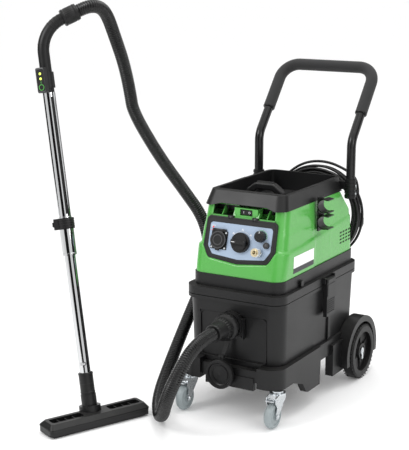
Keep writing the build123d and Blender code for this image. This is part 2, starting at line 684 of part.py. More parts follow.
def make_wand_clips():
    clips = []
    for side in (-1, 1):
        x = side * (COVER_HALF_WIDTH + 1.2)
        clip = block(min(x, x + side * 5), max(x, x + side * 5), CLIP_Y, CLIP_Y + CLIP_LENGTH,
                     513, 613)
        for z in (540, 588):
            centre = x + side * (CLIP_R + 3)
            ring = rod((centre, CLIP_Y, z), (0, 1, 0), CLIP_R + 3, CLIP_LENGTH, CLIP_R)
            cut = side * 400
            mouth = centre + side * 7
            ring -= block(min(mouth, cut), max(mouth, cut), CLIP_Y - 5, CLIP_Y + 60, z - 60, z + 60)
            clip += ring
            for lip in (-1, 1):
                z_lip = z + lip * (math.sqrt(CLIP_R ** 2 - 49) + 1.5)
                x0 = centre + side * 5
                x1 = centre + side * 15
                clip += block(min(x0, x1), max(x0, x1), CLIP_Y, CLIP_Y + CLIP_LENGTH,
                              z_lip - 1.5, z_lip + 1.5)
        for z in (540, 588):
            centre = x + side * (CLIP_R + 3)
            clip -= rod((centre, CLIP_Y - 5, z), (0, 1, 0), CLIP_R, CLIP_LENGTH + 10)
        clips.append(clip)
    save("wand_clips", *clips)


def make_cable_store():
    y0 = COVER_REAR + 0.6
    y1 = COIL_Y + COIL_HALF
    hook = block(-70, 70, y0, y0 + 4, COVER_Z + 4, COIL_Z + COIL_INNER - 6)
    hook -= rod((0, y0 - 5, COIL_Z), (0, 1, 0), 62, 20)
    for up in (-1, 1):
        saddle = rod((0, y0 + 3.2, COIL_Z), (0, 1, 0), COIL_INNER - 0.6, y1 - 2.2 - y0,
                     COIL_INNER - 12)
        saddle += rod((0, y1 + 0.6, COIL_Z), (0, 1, 0), COIL_INNER + 14, 5, COIL_INNER - 12)
        z0 = COIL_Z + up * 78
        z1 = COIL_Z + up * 200
        saddle &= block(-76, 76, y0, y1 + 20, min(z0, z1), max(z0, z1))
        hook += saddle
    save("cable_hook", hook)
    ring = rod((0, COIL_Y - COIL_HALF, COIL_Z), (0, 1, 0), COIL_OUTER, 2 * COIL_HALF, COIL_INNER)
    ring = fillet(ring.edges(), 8)
    save("mains_coil", ring)
    gland = turned([(CABLE_R + 0.05, 0), (14, 0), (14, 8), (9, 12), (6.5, 34), (CABLE_R + 0.05, 34)],
                   (GLAND_X, y0 - 3, GLAND_Z), (0, 1, 0))
    hex_part = rod((GLAND_X, y0 - 3, GLAND_Z), (0, 1, 0), CABLE_R + 0.05, 34)
    save("cable_gland", gland - hex_part)
    save("mains_cable", cord(cable_points(), CABLE_R), cord(TAIL_POINTS, CABLE_R))
    plug_x, plug_y, plug_top = TAIL_POINTS[-1]
    low = plug_top - 70
    plug = turned([(0, 0), (17, 0), (20, 8), (20, 26), (15, 38), (7, 46), (5.5, 70), (0, 70)],
                  (plug_x, plug_y, low), (0, 0, 1))
    for side in (-1, 1):
        plug += rod((plug_x + side * 9.5, plug_y, low - 18.5), (0, 0, 1), 2.4, 20)
    save("mains_plug", plug)


def cable_points():
    """The mains cable's route from the gland to the coil."""
    y = COVER_REAR + 0.6 - 3 + 34
    return [
        (GLAND_X, y, GLAND_Z),
        (GLAND_X, y + 22, GLAND_Z),
        (GLAND_X - 22, y + 36, GLAND_Z - 6),
        (GLAND_X - 58, y + 33, GLAND_Z - 16),
        (GLAND_X - 96, y + 18, GLAND_Z - 14),
        (GLAND_X - 133, y + 6, GLAND_Z - 3),
    ]


# ======== inside the head ========

def make_motor():
    base = FLANGE_TOP_Z + 4.3
    housing = rod((0, MOTOR_Y, base), (0, 0, 1), 92, 126, 88)
    housing += rod((0, MOTOR_Y, base + 123), (0, 0, 1), 92, 4, AXLE_R + RUNNING)
    save("motor_housing", housing)
    save("motor_stator", rod((0, MOTOR_Y, base + 48), (0, 0, 1), 52, 66, 31))
    rotor = rod((0, MOTOR_Y, base + 4), (0, 0, 1), AXLE_R, 128)
    rotor += rod((0, MOTOR_Y, base + 50), (0, 0, 1), 30, 62)
    rotor += rod((0, MOTOR_Y, base + 8), (0, 0, 1), 82, 3)
    rotor += rod((0, MOTOR_Y, base + 30), (0, 0, 1), 82, 3, 30)
    for i in range(8):
        vane = block(28, 80, -1.5, 1.5, base + 10, base + 31)
        rotor += Pos(0, MOTOR_Y, 0) * Rot(0, 0, 45 * i) * vane
    save("motor_rotor", rotor)


def make_board():
    board = block(-62, 62, -176, -174, 432, 545)
    for x, z, size in ((-35, 470, 22), (0, 520, 16), (34, 462, 26)):
        board += block(x - size / 2, x + size / 2, -174.5, -162, z - size / 2, z + size / 2)
    save("circuit_board", board)


def make_filters():
    plate_low = 339.0
    plate = block(-136, 136, -232, 240, plate_low, plate_low + 6, 30)
    for y in FILTER_Y:
        plate -= rod((0, y, plate_low - 5), (0, 0, 1), 38, 40)
    plate -= rod((0, FLOAT_Y, plate_low - 5), (0, 0, 1), 18, 40)
    save("filter_plate", plate)
    save("filter_cartridges", *[
        rod((0, y, plate_low - 140), (0, 0, 1), 58, 139.6, 40)
        + rod((0, y, plate_low - 144), (0, 0, 1), 60, 4.2) for y in FILTER_Y])
    cage = rod((0, FLOAT_Y, 262), (0, 0, 1), 28, plate_low - 262.4, 25)
    cage += rod((0, FLOAT_Y, 259), (0, 0, 1), 28, 3.2, 8)
    for turn in (0, 90):
        slot = Pos(0, FLOAT_Y, 0) * Rot(0, 0, turn) * block(-40, 40, -9, 9, 268, 330)
        cage -= slot
    save("float_cage", cage)
    ball = Pos(0, FLOAT_Y, 285) * Sphere(22)
    save("float_ball", ball)


def make_screws():
    heads = []
    for side in (-1, 1):
        for y in (-150, 120):
            heads.append(rod((side * 88, y, FLANGE_TOP_Z + 4.2), (0, 0, 1), 5, 4))
    save("deck_screws", *heads)


# ======== wand ========

def wand_rod(low, high, radius, bore=0.0, w=0.0, n=0.0):
    return rod(on_wand(w, n, low), WAND.z_dir, radius, high - low, bore)


def wand_block(w0, w1, n0, n1, s0, s1):
    piece = block(w0, w1, n0, n1, s0, s1)
    return WAND.location * piece


def make_wand():
    upper = wand_rod(SLEEVE_S + 74, UPPER_END_S, UPPER_R, UPPER_BORE)
    upper += wand_rod(SLEEVE_S, COLLAR_S, SLEEVE_R, UPPER_BORE)
    save("upper_tube", upper)
    collar = wand_rod(COLLAR_S + 0.2, COLLAR_S + COLLAR_LENGTH, 24, UPPER_R + 0.1)
    collar += wand_block(-34, -21, -11, 11, COLLAR_S + 0.2, COLLAR_S + COLLAR_LENGTH)
    collar -= wand_block(-40, -28, -7.4, 7.4, COLLAR_S + 5, COLLAR_S + COLLAR_LENGTH - 5)
    save("lock_collar", collar)
    save("lock_slider", wand_block(-38, -28.4, -7, 7, COLLAR_S + 9, COLLAR_S + 22))
    lower = wand_rod(TUBE_S - 12, SLEEVE_S + 152, LOWER_R, LOWER_R - 1.5)
    lower += wand_block(-LOWER_R * 0.5 - 4, -LOWER_R * 0.5 + 4, -LOWER_R - 0.2, -LOWER_R + 4,
                        TUBE_S + 22, TUBE_S + 30)
    save("lower_tube", lower)
    elbow = wand_rod(ELBOW_S + 0.3, TUBE_S, 20.5, LOWER_R + 0.1)
    elbow -= wand_rod(ELBOW_S, TUBE_S - 12.2, LOWER_R + 0.1)
    elbow += wand_rod(ELBOW_S + 0.3, TUBE_S - 12.2, 20.5, LOWER_R - 2)
    save("tool_elbow", elbow)


def make_bent_handle():
    arc_low = on_wand(0, 0, BEND_S)
    end, way = bend_end()
    a = math.radians(BEND_ANGLE)
    mid = on_wand(BEND_R * (1 - math.cos(a / 2)), 0, BEND_S + BEND_R * math.sin(a / 2))
    nose, _ = bend_end(CUFF_LENGTH - 8.5)
    path = Line(on_wand(0, 0, UPPER_END_S + 0.2), arc_low)
    path += ThreePointArc(arc_low, mid, end)
    path += Line(end, nose)
    ring = Circle(GRIP_R) - Circle(GRIP_R - 2.5)
    plane = Plane(origin=on_wand(0, 0, UPPER_END_S + 0.2), z_dir=WAND.z_dir)
    handle = sweep(plane * ring, path=path)
    save("bent_handle", handle)


def remote_plane():
    """The remote control's face: it looks out from the tube's side."""
    out = (WAND.x_dir * -0.58 + WAND.y_dir * -0.81).normalized()
    origin = on_wand(0, 0, REMOTE_S) + out * (GRIP_R + 1)
    return Plane(origin=origin, x_dir=WAND.z_dir, z_dir=out)


def make_remote():
    face = remote_plane()
    low = UPPER_R + 0.5 - GRIP_R - 1
    case = face.location * (Pos(0, 0, low) * extrude(RectangleRounded(70, 28, 5), 15))
    clamp = wand_rod(REMOTE_S - 22, REMOTE_S + 22, GRIP_R + 4, GRIP_R + 0.1)
    case = case + clamp
    hole = face.location * (Pos(-20, 0, low + 9) * extrude(Circle(6.3), 30))
    case -= hole
    case -= wand_rod(REMOTE_S - 60, REMOTE_S + 60, GRIP_R + 0.1)
    case -= wand_rod(REMOTE_S - 60, UPPER_END_S + 0.2, UPPER_R + 0.3)
    save("remote_control", case)
    button = face.location * (Pos(-20, 0, low + 11) * extrude(Circle(6), 5.5))
    save("remote_button", button)


def make_floor_tool():
    cx, cy = TOOL_CENTRE
    place = Plane(origin=(cx, cy, 0), x_dir=(TOOL_AXIS[0], TOOL_AXIS[1], 0), z_dir=(0, 0, 1))
    base = extrude(RectangleRounded(TOOL_LENGTH, TOOL_DEPTH, 12), 20)
    base = Pos(0, 0, 6) * base
    top = loft([Pos(0, 0, 26) * RectangleRounded(TOOL_LENGTH, TOOL_DEPTH, 12),
                Pos(0, 0, 38) * RectangleRounded(TOOL_LENGTH - 18, TOOL_DEPTH - 26, 8)])
    body = base + top
    for side in (-1, 1):
        body -= Pos(side * 92, 0, 26) * extrude(RectangleRounded(100, 30, 8), 20)
    body -= Pos(0, 0, 5) * extrude(RectangleRounded(TOOL_LENGTH - 16, 40, 6), 12)
    body = place.location * body
    neck = wand_rod(-34, ELBOW_S, 22)
    hump = wand_rod(-34, 4, 31) & block(-500, 0, -700, -300, 15, 200)
    neck = (neck & block(-500, 0, -700, -300, 15, 200)) + hump
    body += neck
    body -= wand_rod(-60, ELBOW_S + 5, LOWER_R - 2) & block(-500, 0, -700, -300, 14, 300)
    strips = []
    for side in (-1, 1):
        strip = Pos(0, side * 27, 0) * extrude(Rectangle(TOOL_LENGTH - 24, 6), 5.8)
        strips.append(place.location * strip)
    save("floor_tool", body, *strips)


def main():
    make_tank()
    make_gasket()
    make_chassis()
    make_rear_axle()
    make_rear_wheel(-1, "rear_wheel_left")
    make_rear_wheel(1, "rear_wheel_right")
    make_caster(-1, "left")
    make_caster(1, "right")
    make_inlet()
    make_connector()
    make_hose()
    make_skirt()
    make_latch(-1, "latch_left")
    make_latch(1, "latch_right")
    save("green_cover", make_cover())
    make_panel()
    make_controls()
    make_tray()
    make_carry_handle()
    make_push_handle()
    make_wand_clips()
    make_cable_store()
    make_motor()
    make_board()
    make_filters()
    make_screws()
    make_wand()
    make_bent_handle()
    make_remote()
    make_floor_tool()


main()
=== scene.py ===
import json
import math

import bmesh
import bpy
from mathutils import Matrix, Vector


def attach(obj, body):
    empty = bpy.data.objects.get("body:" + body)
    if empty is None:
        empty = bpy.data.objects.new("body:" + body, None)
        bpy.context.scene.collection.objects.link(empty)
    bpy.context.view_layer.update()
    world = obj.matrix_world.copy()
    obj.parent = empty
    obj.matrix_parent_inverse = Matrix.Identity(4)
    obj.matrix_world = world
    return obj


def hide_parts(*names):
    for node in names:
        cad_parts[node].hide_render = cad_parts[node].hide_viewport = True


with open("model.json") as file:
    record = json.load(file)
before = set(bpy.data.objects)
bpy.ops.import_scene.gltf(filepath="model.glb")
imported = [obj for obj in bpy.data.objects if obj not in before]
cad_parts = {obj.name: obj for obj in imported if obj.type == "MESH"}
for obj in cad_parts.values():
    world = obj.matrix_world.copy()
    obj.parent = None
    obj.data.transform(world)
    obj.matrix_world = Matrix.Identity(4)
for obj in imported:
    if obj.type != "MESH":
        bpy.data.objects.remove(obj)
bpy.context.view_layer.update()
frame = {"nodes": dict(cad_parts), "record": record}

bl_info = {
    "name": "Shop vacuum",
    "version": (1, 0, 0),
    "blender": (4, 5, 0),
    "location": "3D View > Sidebar > Shop vacuum",
    "description": "Finishes and fine parts of a wheeled wet and dry shop vacuum",
    "category": "Object",
}

NODES = frame["nodes"]
LOOKS = {}

# Places of the machine's parts, in millimetres.
COVER_Z = 408.0
COVER_TOP_Z = 598.0
COVER_HALF = 141.0
COVER_TOP_HALF = 130.0
COVER_FRONT = -236.0
COVER_REAR = 257.0
COVER_CORNER = 32.0
FRONT_LEAN = math.tan(math.radians(15))
RECESS_HALF = 104.0
RECESS_Z = 572.0
SHEET_TOP = 4.2
SOCKET = (-66.0, -6.0)
SELECTOR = (5.0, -6.0)
SPEED = (66.0, 18.0)
RESET = (87.0, -5.0)
COUPLER = (66.0, -28.0)
REAR_WHEEL = (176.0, 234.0, 86.5)
CASTER = (144.0, -278.0, 37.5)
INLET_Z = 275.0
COIL_CENTRE = (0.0, 500.0)
BEND_START = 1001.0
BEND_RADIUS = 97.0
BEND_ANGLE = math.radians(70)
# The place the wand's groove and button face.
SEEN_FROM = Vector((1621.8, -3139.2, 1306.9))

# The hose's and the cable's routes, in metres.
HOSE_ROUTE = [
    (0, -0.3653, 0.275), (0, -0.455, 0.275), (-0.020, -0.524, 0.196),
    (-0.062, -0.510, 0.112), (-0.105, -0.459, 0.048), (-0.155, -0.401, 0.020),
    (-0.203, -0.329, 0.045), (-0.236, -0.209, 0.108), (-0.238, -0.118, 0.204),
    (-0.233, -0.028, 0.306), (-0.229, 0.012, 0.408), (-0.240, -0.008, 0.508),
    (-0.290, -0.038, 0.592), (-0.358, -0.075, 0.700), (-0.424, -0.112, 0.832),
    (-0.427, -0.121, 0.885), (-0.431, -0.132, 0.939), (-0.437, -0.145, 0.991),
    (-0.441, -0.164, 1.036), (-0.440, -0.188, 1.076), (-0.435, -0.214, 1.110),
    (-0.430, -0.242, 1.135), (-0.4295, -0.269, 1.1485), (-0.4345, -0.294, 1.152),
    (-0.44551, -0.31547, 1.14788), (-0.46053, -0.33129, 1.13786),
]
CABLE_ROUTE = [
    (0.024, 0.2886, 0.470), (0.024, 0.3106, 0.470), (0.002, 0.3246, 0.464),
    (-0.034, 0.3216, 0.454), (-0.072, 0.3066, 0.456), (-0.109, 0.2946, 0.467),
]
CABLE_TAIL = [
    (0.116, 0.320, 0.612), (0.1195, 0.330, 0.580), (0.119, 0.333, 0.552), (0.119, 0.333, 0.528),
]


class Value:
    """A number that varies over a surface, worked on with Python's own arithmetic."""

    def __init__(self, tree, socket):
        self.tree = tree
        self.socket = socket

    def _sum(self, operation, *values):
        node = self.tree.nodes.new("ShaderNodeMath")
        node.operation = operation
        for socket, value in zip(node.inputs, values):
            if isinstance(value, Value):
                self.tree.links.new(value.socket, socket)
            else:
                socket.default_value = value
        return Value(self.tree, node.outputs[0])

    def __add__(self, other):
        return self._sum("ADD", self, other)

    __radd__ = __add__

    def __sub__(self, other):
        return self._sum("SUBTRACT", self, other)

    def __rsub__(self, other):
        return self._sum("SUBTRACT", other, self)

    def __mul__(self, other):
        return self._sum("MULTIPLY", self, other)

    __rmul__ = __mul__

    def held(self):
        """The value kept between 0 and 1."""
        return self._sum("MINIMUM", self._sum("MAXIMUM", self, 0.0), 1.0)

    def wave(self):
        """The value's sine."""
        return self._sum("SINE", self)


class Look:
    """One finish: a node tree that ends in a single surface shader."""

    def __init__(self, name, **constants):
        self.material = bpy.data.materials.new(name)
        self.material.use_nodes = True
        self.tree = self.material.node_tree
        self.tree.nodes.clear()
        self.shader = self.tree.nodes.new("ShaderNodeBsdfPrincipled")
        output = self.tree.nodes.new("ShaderNodeOutputMaterial")
        self.tree.links.new(self.shader.outputs[0], output.inputs[0])
        for socket, value in constants.items():
            self.shader.inputs[socket.replace("_", " ")].default_value = value
        self.place = self.node("ShaderNodeTexCoord").outputs["Object"]
        LOOKS[name] = self.material

    def node(self, kind, settings=None, inputs=None):
        """Adds a node: its type, then its settings, then the values or links of its sockets."""
        node = self.tree.nodes.new(kind)
        for key, value in (settings or {}).items():
            if key == "stops":
                ramp = node.color_ramp
                ramp.elements[0].position, ramp.elements[0].color = value[0]
                ramp.elements[1].position, ramp.elements[1].color = value[-1]
                for position, colour in value[1:-1]:
                    ramp.elements.new(position).color = colour
            else:
                setattr(node, key, value)
        for key, value in (inputs or {}).items():
            self.join(value, node.inputs[key])
        return node

    def join(self, value, socket):
        if isinstance(value, Value):
            value = value.socket
        if isinstance(value, bpy.types.NodeSocket):
            self.tree.links.new(value, socket)
        else:
            socket.default_value = value

    def value(self, kind, settings=None, inputs=None, output=0):
        return Value(self.tree, self.node(kind, settings, inputs).outputs[output])

    def stretched(self, scale):
        return self.node("ShaderNodeMapping", None, {"Vector": self.place, "Scale": scale}).outputs[0]

    def noise(self, scale, detail=2.0, where=None, rough=0.5):
        """Noise about a mean of one half, its scale in cells per metre."""
        where = where or self.place
        inputs = {"Vector": where, "Scale": scale, "Detail": detail, "Roughness": rough}
        return self.value("ShaderNodeTexNoise", None, inputs)

    def mix(self, factor, first, second):
        inputs = {0: factor, 6: first, 7: second}
        return self.node("ShaderNodeMix", {"data_type": "RGBA"}, inputs).outputs[2]

    def upward(self):
        """How far the surface looks up, from 0 to 1."""
        normal = self.node("ShaderNodeNewGeometry").outputs["Normal"]
        split = self.node("ShaderNodeSeparateXYZ", None, {0: normal})
        return Value(self.tree, split.outputs[2]).held()

    def height(self, axis):
        split = self.node("ShaderNodeSeparateXYZ", None, {0: self.place})
        return Value(self.tree, split.outputs[axis])

    def bump(self, height, strength, distance):
        inputs = {"Height": height, "Strength": strength, "Distance": distance}
        return self.node("ShaderNodeBump", None, inputs).outputs[0]

    def end(self, colour=None, rough=None, normal=None, metal=None):
        for socket, value in (("Base Color", colour), ("Roughness", rough),
                              ("Normal", normal), ("Metallic", metal)):
            if value is not None:
                self.join(value, self.shader.inputs[socket])
        return self.material


def shade(colour, factor):
    """A colour made lighter or darker, with full alpha."""
    return tuple(min(1.0, c * factor) for c in colour[:3]) + (1.0,)


def moulded(name, colour, rough, grain=2600.0, depth=0.00006, dust=0.05, coat=0.0, cloud=0.10,
            shine=0.5):
    """Moulded plastic: fine texture, slow changes of tone, and dust on what looks up."""
    look = Look(name, Coat_Weight=coat, Coat_Roughness=0.12, Specular_IOR_Level=shine)
    fine = look.noise(grain, 3.0)
    slow = look.noise(9.0, 3.0)
    base = look.mix(slow, shade(colour, 1 - cloud), shade(colour, 1 + cloud))
    dusty = (look.upward() * look.noise(26.0, 4.0) * dust).held()
    base = look.mix(dusty, base, (0.46, 0.45, 0.42, 1.0))
    return look.end(base, rough + (slow - 0.5) * 0.16 + (fine - 0.5) * 0.08,
                    look.bump(fine, 0.35, depth))


def plated(name, colour, rough, streak=(900.0, 900.0, 12.0), haze=0.10):
    """Polished or plated metal with faint streaks along Z and a slow haze."""
    look = Look(name, Metallic=1.0)
    lines = look.noise(1.0, 4.0, look.stretched(streak))
    slow = look.noise(14.0, 3.0)
    base = look.mix(slow, shade(colour, 0.93), shade(colour, 1.04))
    roughness = rough + (slow - 0.45).held() * haze + (lines - 0.5) * haze
    return look.end(base, roughness.held(), look.bump(lines, 0.08, 0.00004))


def foamed(name, colour):
    """Soft grip foam: open cells and a dull nap."""
    look = Look(name, Sheen_Weight=0.08, Sheen_Roughness=0.6)
    cells = look.value("ShaderNodeTexVoronoi", None, {"Vector": look.place, "Scale": 900.0})
    slow = look.noise(20.0, 3.0)
    base = look.mix(slow, shade(colour, 0.8), shade(colour, 1.2))
    return look.end(base, 0.85 + (slow - 0.5) * 0.1, look.bump(cells, 0.6, 0.0003))


def rubbery(name, colour, rough, speck=0.06, shine=0.5):
    """Rubber or soft vinyl: a slight sheen, scuffs and dust in the low places."""
    look = Look(name, Specular_IOR_Level=shine)
    scuff = look.noise(60.0, 5.0, None, 0.7)
    fine = look.noise(1800.0, 2.0)
    base = look.mix(scuff, shade(colour, 0.82), shade(colour, 1.22))
    dusty = (look.upward() * scuff * speck * 2.0).held()
    base = look.mix(dusty, base, (0.50, 0.48, 0.45, 1.0))
    return look.end(base, rough + (scuff - 0.5) * 0.22, look.bump(fine, 0.25, 0.00005))


def striped(name, first, second, axis, pitch, rough, metal=0.0, depth=0.0004):
    """Even stripes across one axis, for windings, sheet stacks and pleats."""
    look = Look(name, Metallic=metal)
    wave = (look.height(axis) * (2 * math.pi / pitch)).wave() * 0.5 + 0.5
    slow = look.noise(30.0, 3.0)
    base = look.mix((wave * 0.8 + slow * 0.2).held(), shade(first, 1), shade(second, 1))
    return look.end(base, rough + (slow - 0.5) * 0.15, look.bump(wave, 0.5, depth))


def board_finish(name, colour):
    """A circuit board: green mask, copper tracks and tinned pads."""
    look = Look(name)
    tracks = look.value("ShaderNodeTexBrick", {"offset": 0.5}, {
        "Vector": look.stretched((1.0, 1.0, 1.0)), "Scale": 60.0, "Mortar Size": 0.04}, 1)
    slow = look.noise(40.0, 2.0)
    base = look.mix(slow, shade(colour, 0.8), shade(colour, 1.2))
    base = look.mix(tracks, base, (0.25, 0.5, 0.16, 1.0))
    return look.end(base, 0.35 + slow * 0.1, look.bump(tracks, 0.3, 0.0002))


def glowing(name, colour, strength):
    """A small lens with its lamp lit behind it."""
    look = Look(name, Roughness=0.25, Emission_Strength=strength, Coat_Weight=0.5)
    slow = look.noise(700.0, 2.0)
    base = look.mix(slow, shade(colour, 0.85), shade(colour, 1.15))
    look.join(base, look.shader.inputs["Emission Color"])
    return look.end(base)


class Form:
    """Gathers the corners and faces of one piece, in millimetres."""

    def __init__(self):
        self.corners = []
        self.faces = []

    def add(self, corners, faces):
        start = len(self.corners)
        self.corners += [Vector(c) for c in corners]
        self.faces += [[start + i for i in face] for face in faces]
        return self

    def grid(self, rows, closed=False):
        """Faces between rows of equal length; closed joins each row's ends."""
        n = len(rows[0])
        last = n if closed else n - 1
        faces = []
        for j in range(len(rows) - 1):
            for i in range(last):
                k = (i + 1) % n
                faces.append([j * n + i, j * n + k, (j + 1) * n + k, (j + 1) * n + i])
        return self.add([c for row in rows for c in row], faces)

    def rings(self, rings, caps=True):
        start = len(self.corners)
        self.grid(rings, True)
        n = len(rings[0])
        if caps:
            self.faces.append([start + i for i in range(n - 1, -1, -1)])
            self.faces.append([start + (len(rings) - 1) * n + i for i in range(n)])
        return self

    def turned(self, profile, origin, axis, sides=48, caps=True, flutes=0, cut=0.0):
        """A shape turned about an axis from (radius, height) pairs; flutes pull its radius in."""
        axis = Vector(axis).normalized()
        right, up = square_to(axis)
        rings = []
        for radius, height in profile:
            ring = []
            for i in range(sides):
                angle = 2 * math.pi * i / sides
                pull = cut * max(0.0, math.cos(flutes * angle)) if flutes else 0.0
                r = radius - pull
                ring.append(Vector(origin) + axis * height
                            + (right * math.cos(angle) + up * math.sin(angle)) * r)
            rings.append(ring)
        return self.rings(rings, caps)

    def tube(self, path, radii, sides=16, caps=True):
        """A round tube along a path; radii is one number or one for each point."""
        path = [Vector(p) for p in path]
        if not hasattr(radii, "__len__"):
            radii = [radii] * len(path)
        way = (path[1] - path[0]).normalized()
        right, _ = square_to(way)
        rings = []
        for i, point in enumerate(path):
            ahead = path[min(i + 1, len(path) - 1)] - path[max(i - 1, 0)]
            ahead.normalize()
            right = (right - ahead * right.dot(ahead)).normalized()
            up = ahead.cross(right)
            ring = []
            for k in range(sides):
                angle = 2 * math.pi * k / sides
                ring.append(point + (right * math.cos(angle) + up * math.sin(angle)) * radii[i])
            rings.append(ring)
        return self.rings(rings, caps)

    def slab(self, outline, place, low, high, chamfer=0.0):
        """A plate on a plane, its top edge chamfered."""
        rings = [[place @ Vector((u, v, low)) for u, v in outline],
                 [place @ Vector((u, v, high - chamfer)) for u, v in outline]]
        if chamfer:
            rings.append([place @ Vector((u, v, high)) for u, v in inset(outline, chamfer)])
        return self.rings(rings)

    def hoop(self, place, centre, inner, outer, low, high, start=0.0, end=360.0, sides=48):
        """A flat ring, or an arc of one, on a plane."""
        whole = end - start >= 360.0
        rows = []
        steps = sides if whole else sides + 1
        for i in range(steps):
            angle = math.radians(start + (end - start) * i / sides)
            row = []
            for r, h in ((inner, low), (inner, high), (outer, high), (outer, low)):
                u = centre[0] + r * math.cos(angle)
                v = centre[1] + r * math.sin(angle)
                row.append(place @ Vector((u, v, h)))
            rows.append(row)
        if whole:
            rows.append(rows[0])
            return self.grid(rows, True)
        return self.rings(rows)

    def done(self, name, body, slot, look=None, crease=35.0, bevel=0.0):
        """Makes the mesh object, gives it its finish and lets it ride on its body."""
        mesh = bpy.data.meshes.new(name)
        mesh.from_pydata([c / 1000 for c in self.corners], [], self.faces)
        build = bmesh.new()
        build.from_mesh(mesh)
        bmesh.ops.remove_doubles(build, verts=build.verts, dist=1e-7)
        bmesh.ops.recalc_face_normals(build, faces=build.faces)
        build.to_mesh(mesh)
        build.free()
        mesh.shade_smooth()
        mesh.set_sharp_from_angle(angle=math.radians(crease))
        mesh.materials.append(LOOKS[look or slot])
        piece = bpy.data.objects.new(name, mesh)
        bpy.context.scene.collection.objects.link(piece)
        if bevel:
            edge = piece.modifiers.new("edges", "BEVEL")
            edge.width = bevel / 1000
            edge.segments = 2
            edge.limit_method = "ANGLE"
            edge.angle_limit = math.radians(40)
            edge.harden_normals = True
        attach(piece, body)
        return piece


def square_to(axis):
    """Two directions square to an axis and to each other."""
    helper = Vector((0, 0, 1)) if abs(axis.z) < 0.9 else Vector((1, 0, 0))
    right = helper.cross(axis).normalized()
    return right, axis.cross(right)


def inset(outline, amount):
    """An outline with each corner drawn towards its middle by an amount."""
    cu = sum(u for u, _ in outline) / len(outline)
    cv = sum(v for _, v in outline) / len(outline)
    drawn = []
    for u, v in outline:
        reach = math.hypot(u - cu, v - cv) or 1.0
        keep = max(0.0, 1 - amount * 1.3 / reach)
        drawn.append((cu + (u - cu) * keep, cv + (v - cv) * keep))
    return drawn


def rounded(u0, u1, v0, v1, radius, steps=5):
    """A rectangle's outline with round corners."""
    radius = min(radius, (u1 - u0) / 2 - 0.01, (v1 - v0) / 2 - 0.01)
    outline = []
    for cu, cv, first in ((u1 - radius, v1 - radius, 0), (u0 + radius, v1 - radius, 90),
                          (u0 + radius, v0 + radius, 180), (u1 - radius, v0 + radius, 270)):
        for i in range(steps + 1):
            angle = math.radians(first + 90 * i / steps)
            outline.append((cu + radius * math.cos(angle), cv + radius * math.sin(angle)))
    return outline


def filleted(outline, radius, steps=6):
    """An outline with every corner turned into an arc."""
    smooth = []
    points = [Vector(p) for p in outline]
    for i, corner in enumerate(points):
        back = (points[i - 1] - corner).normalized()
        ahead = (points[(i + 1) % len(points)] - corner).normalized()
        half = back.angle(ahead) / 2
        reach = radius / math.tan(half)
        start = corner + back * reach
        end = corner + ahead * reach
        middle = corner + (back + ahead).normalized() * radius / math.sin(half)
        for k in range(steps + 1):
            t = k / steps
            way = (start - middle).lerp(end - middle, t)
            smooth.append(tuple(middle + way.normalized() * radius))
    return smooth


def place_of(origin, right, out):
    """A plane's matrix, from its origin, its first direction and where it looks."""
    out = Vector(out).normalized()
    right = Vector(right)
    right = (right - out * right.dot(out)).normalized()
    up = out.cross(right)
    rows = [(right[i], up[i], out[i], origin[i]) for i in range(3)] + [(0, 0, 0, 1)]
    return Matrix(rows)


def between(x, points):
    """A value read from (x, value) points, straight between them."""
    if x <= points[0][0]:
        return points[0][1]
    for (x0, y0), (x1, y1) in zip(points, points[1:]):
        if x <= x1:
            return y0 + (y1 - y0) * (x - x0) / (x1 - x0)
    return points[-1][1]


def eased(t):
    t = min(1.0, max(0.0, t))
    return t * t * (3 - 2 * t)


PANEL = place_of((0, COVER_FRONT + FRONT_LEAN * (508 - COVER_Z), 508), (1, 0, 0),
                 (0, -math.cos(math.radians(15)), math.sin(math.radians(15))))
WAND_DIR = Vector((-0.1934, 0.0837, 0.9775)).normalized()
WAND = place_of((-325.7, -496.5, 45.0), (0.75, 0.66, 0.0), WAND_DIR)
TOOL = place_of((-302.4, -503.5, 0), (0.404, 0.915, 0), (0, 0, 1))


def side_place(side, x):
    """A plane on one side of the machine: first along +Y, then up."""
    return place_of((side * x, 0, 0), (0, side, 0), (side, 0, 0))


def side_outline(side, y0, y1, z0, z1, radius):
    """A rounded rectangle on a side plane, given by its y and z limits."""
    u0, u1 = sorted((side * y0, side * y1))
    return rounded(u0, u1, z0, z1, radius)


def on_bend(angle, extra=0.0):
    """A point on the wand handle's bend and the direction there."""
    w = BEND_RADIUS * (1 - math.cos(angle)) + extra * math.sin(angle)
    s = BEND_START + BEND_RADIUS * math.sin(angle) + extra * math.cos(angle)
    turn = WAND.to_3x3()
    return WAND @ Vector((w, 0, s)), turn @ Vector((math.sin(angle), 0, math.cos(angle)))


def route_points(name, route, resolution):
    """Points along a smooth spline whose control points are a route's points."""
    curve = cord_curve(name, route, resolution)
    line = bpy.data.objects.new(name, curve)
    bpy.context.scene.collection.objects.link(line)
    mesh = bpy.data.meshes.new_from_object(line)
    points = [v.co.copy() for v in mesh.vertices]
    bpy.data.objects.remove(line)
    bpy.data.meshes.remove(mesh)
    bpy.data.curves.remove(curve)
    return points


def cord_curve(name, route, resolution):
    curve = bpy.data.curves.new(name, "CURVE")
    curve.dimensions = "3D"
    curve.resolution_u = resolution
    spline = curve.splines.new("NURBS")
    spline.points.add(len(route) - 1)
    for point, where in zip(spline.points, route):
        point.co = (*where, 1.0)
    spline.order_u = 3
    spline.use_endpoint_u = True
    return curve


def evenly(points, step):
    """The same line with its points a fixed step apart."""
    spaced = [points[0]]
    room = step
    for a, b in zip(points, points[1:]):
        run = (b - a).length
        while run >= room and run > 0:
            a = a + (b - a) * (room / run)
            spaced.append(a)
            run = (b - a).length
            room = step
        room -= run
    return spaced


# ---- finishes ----

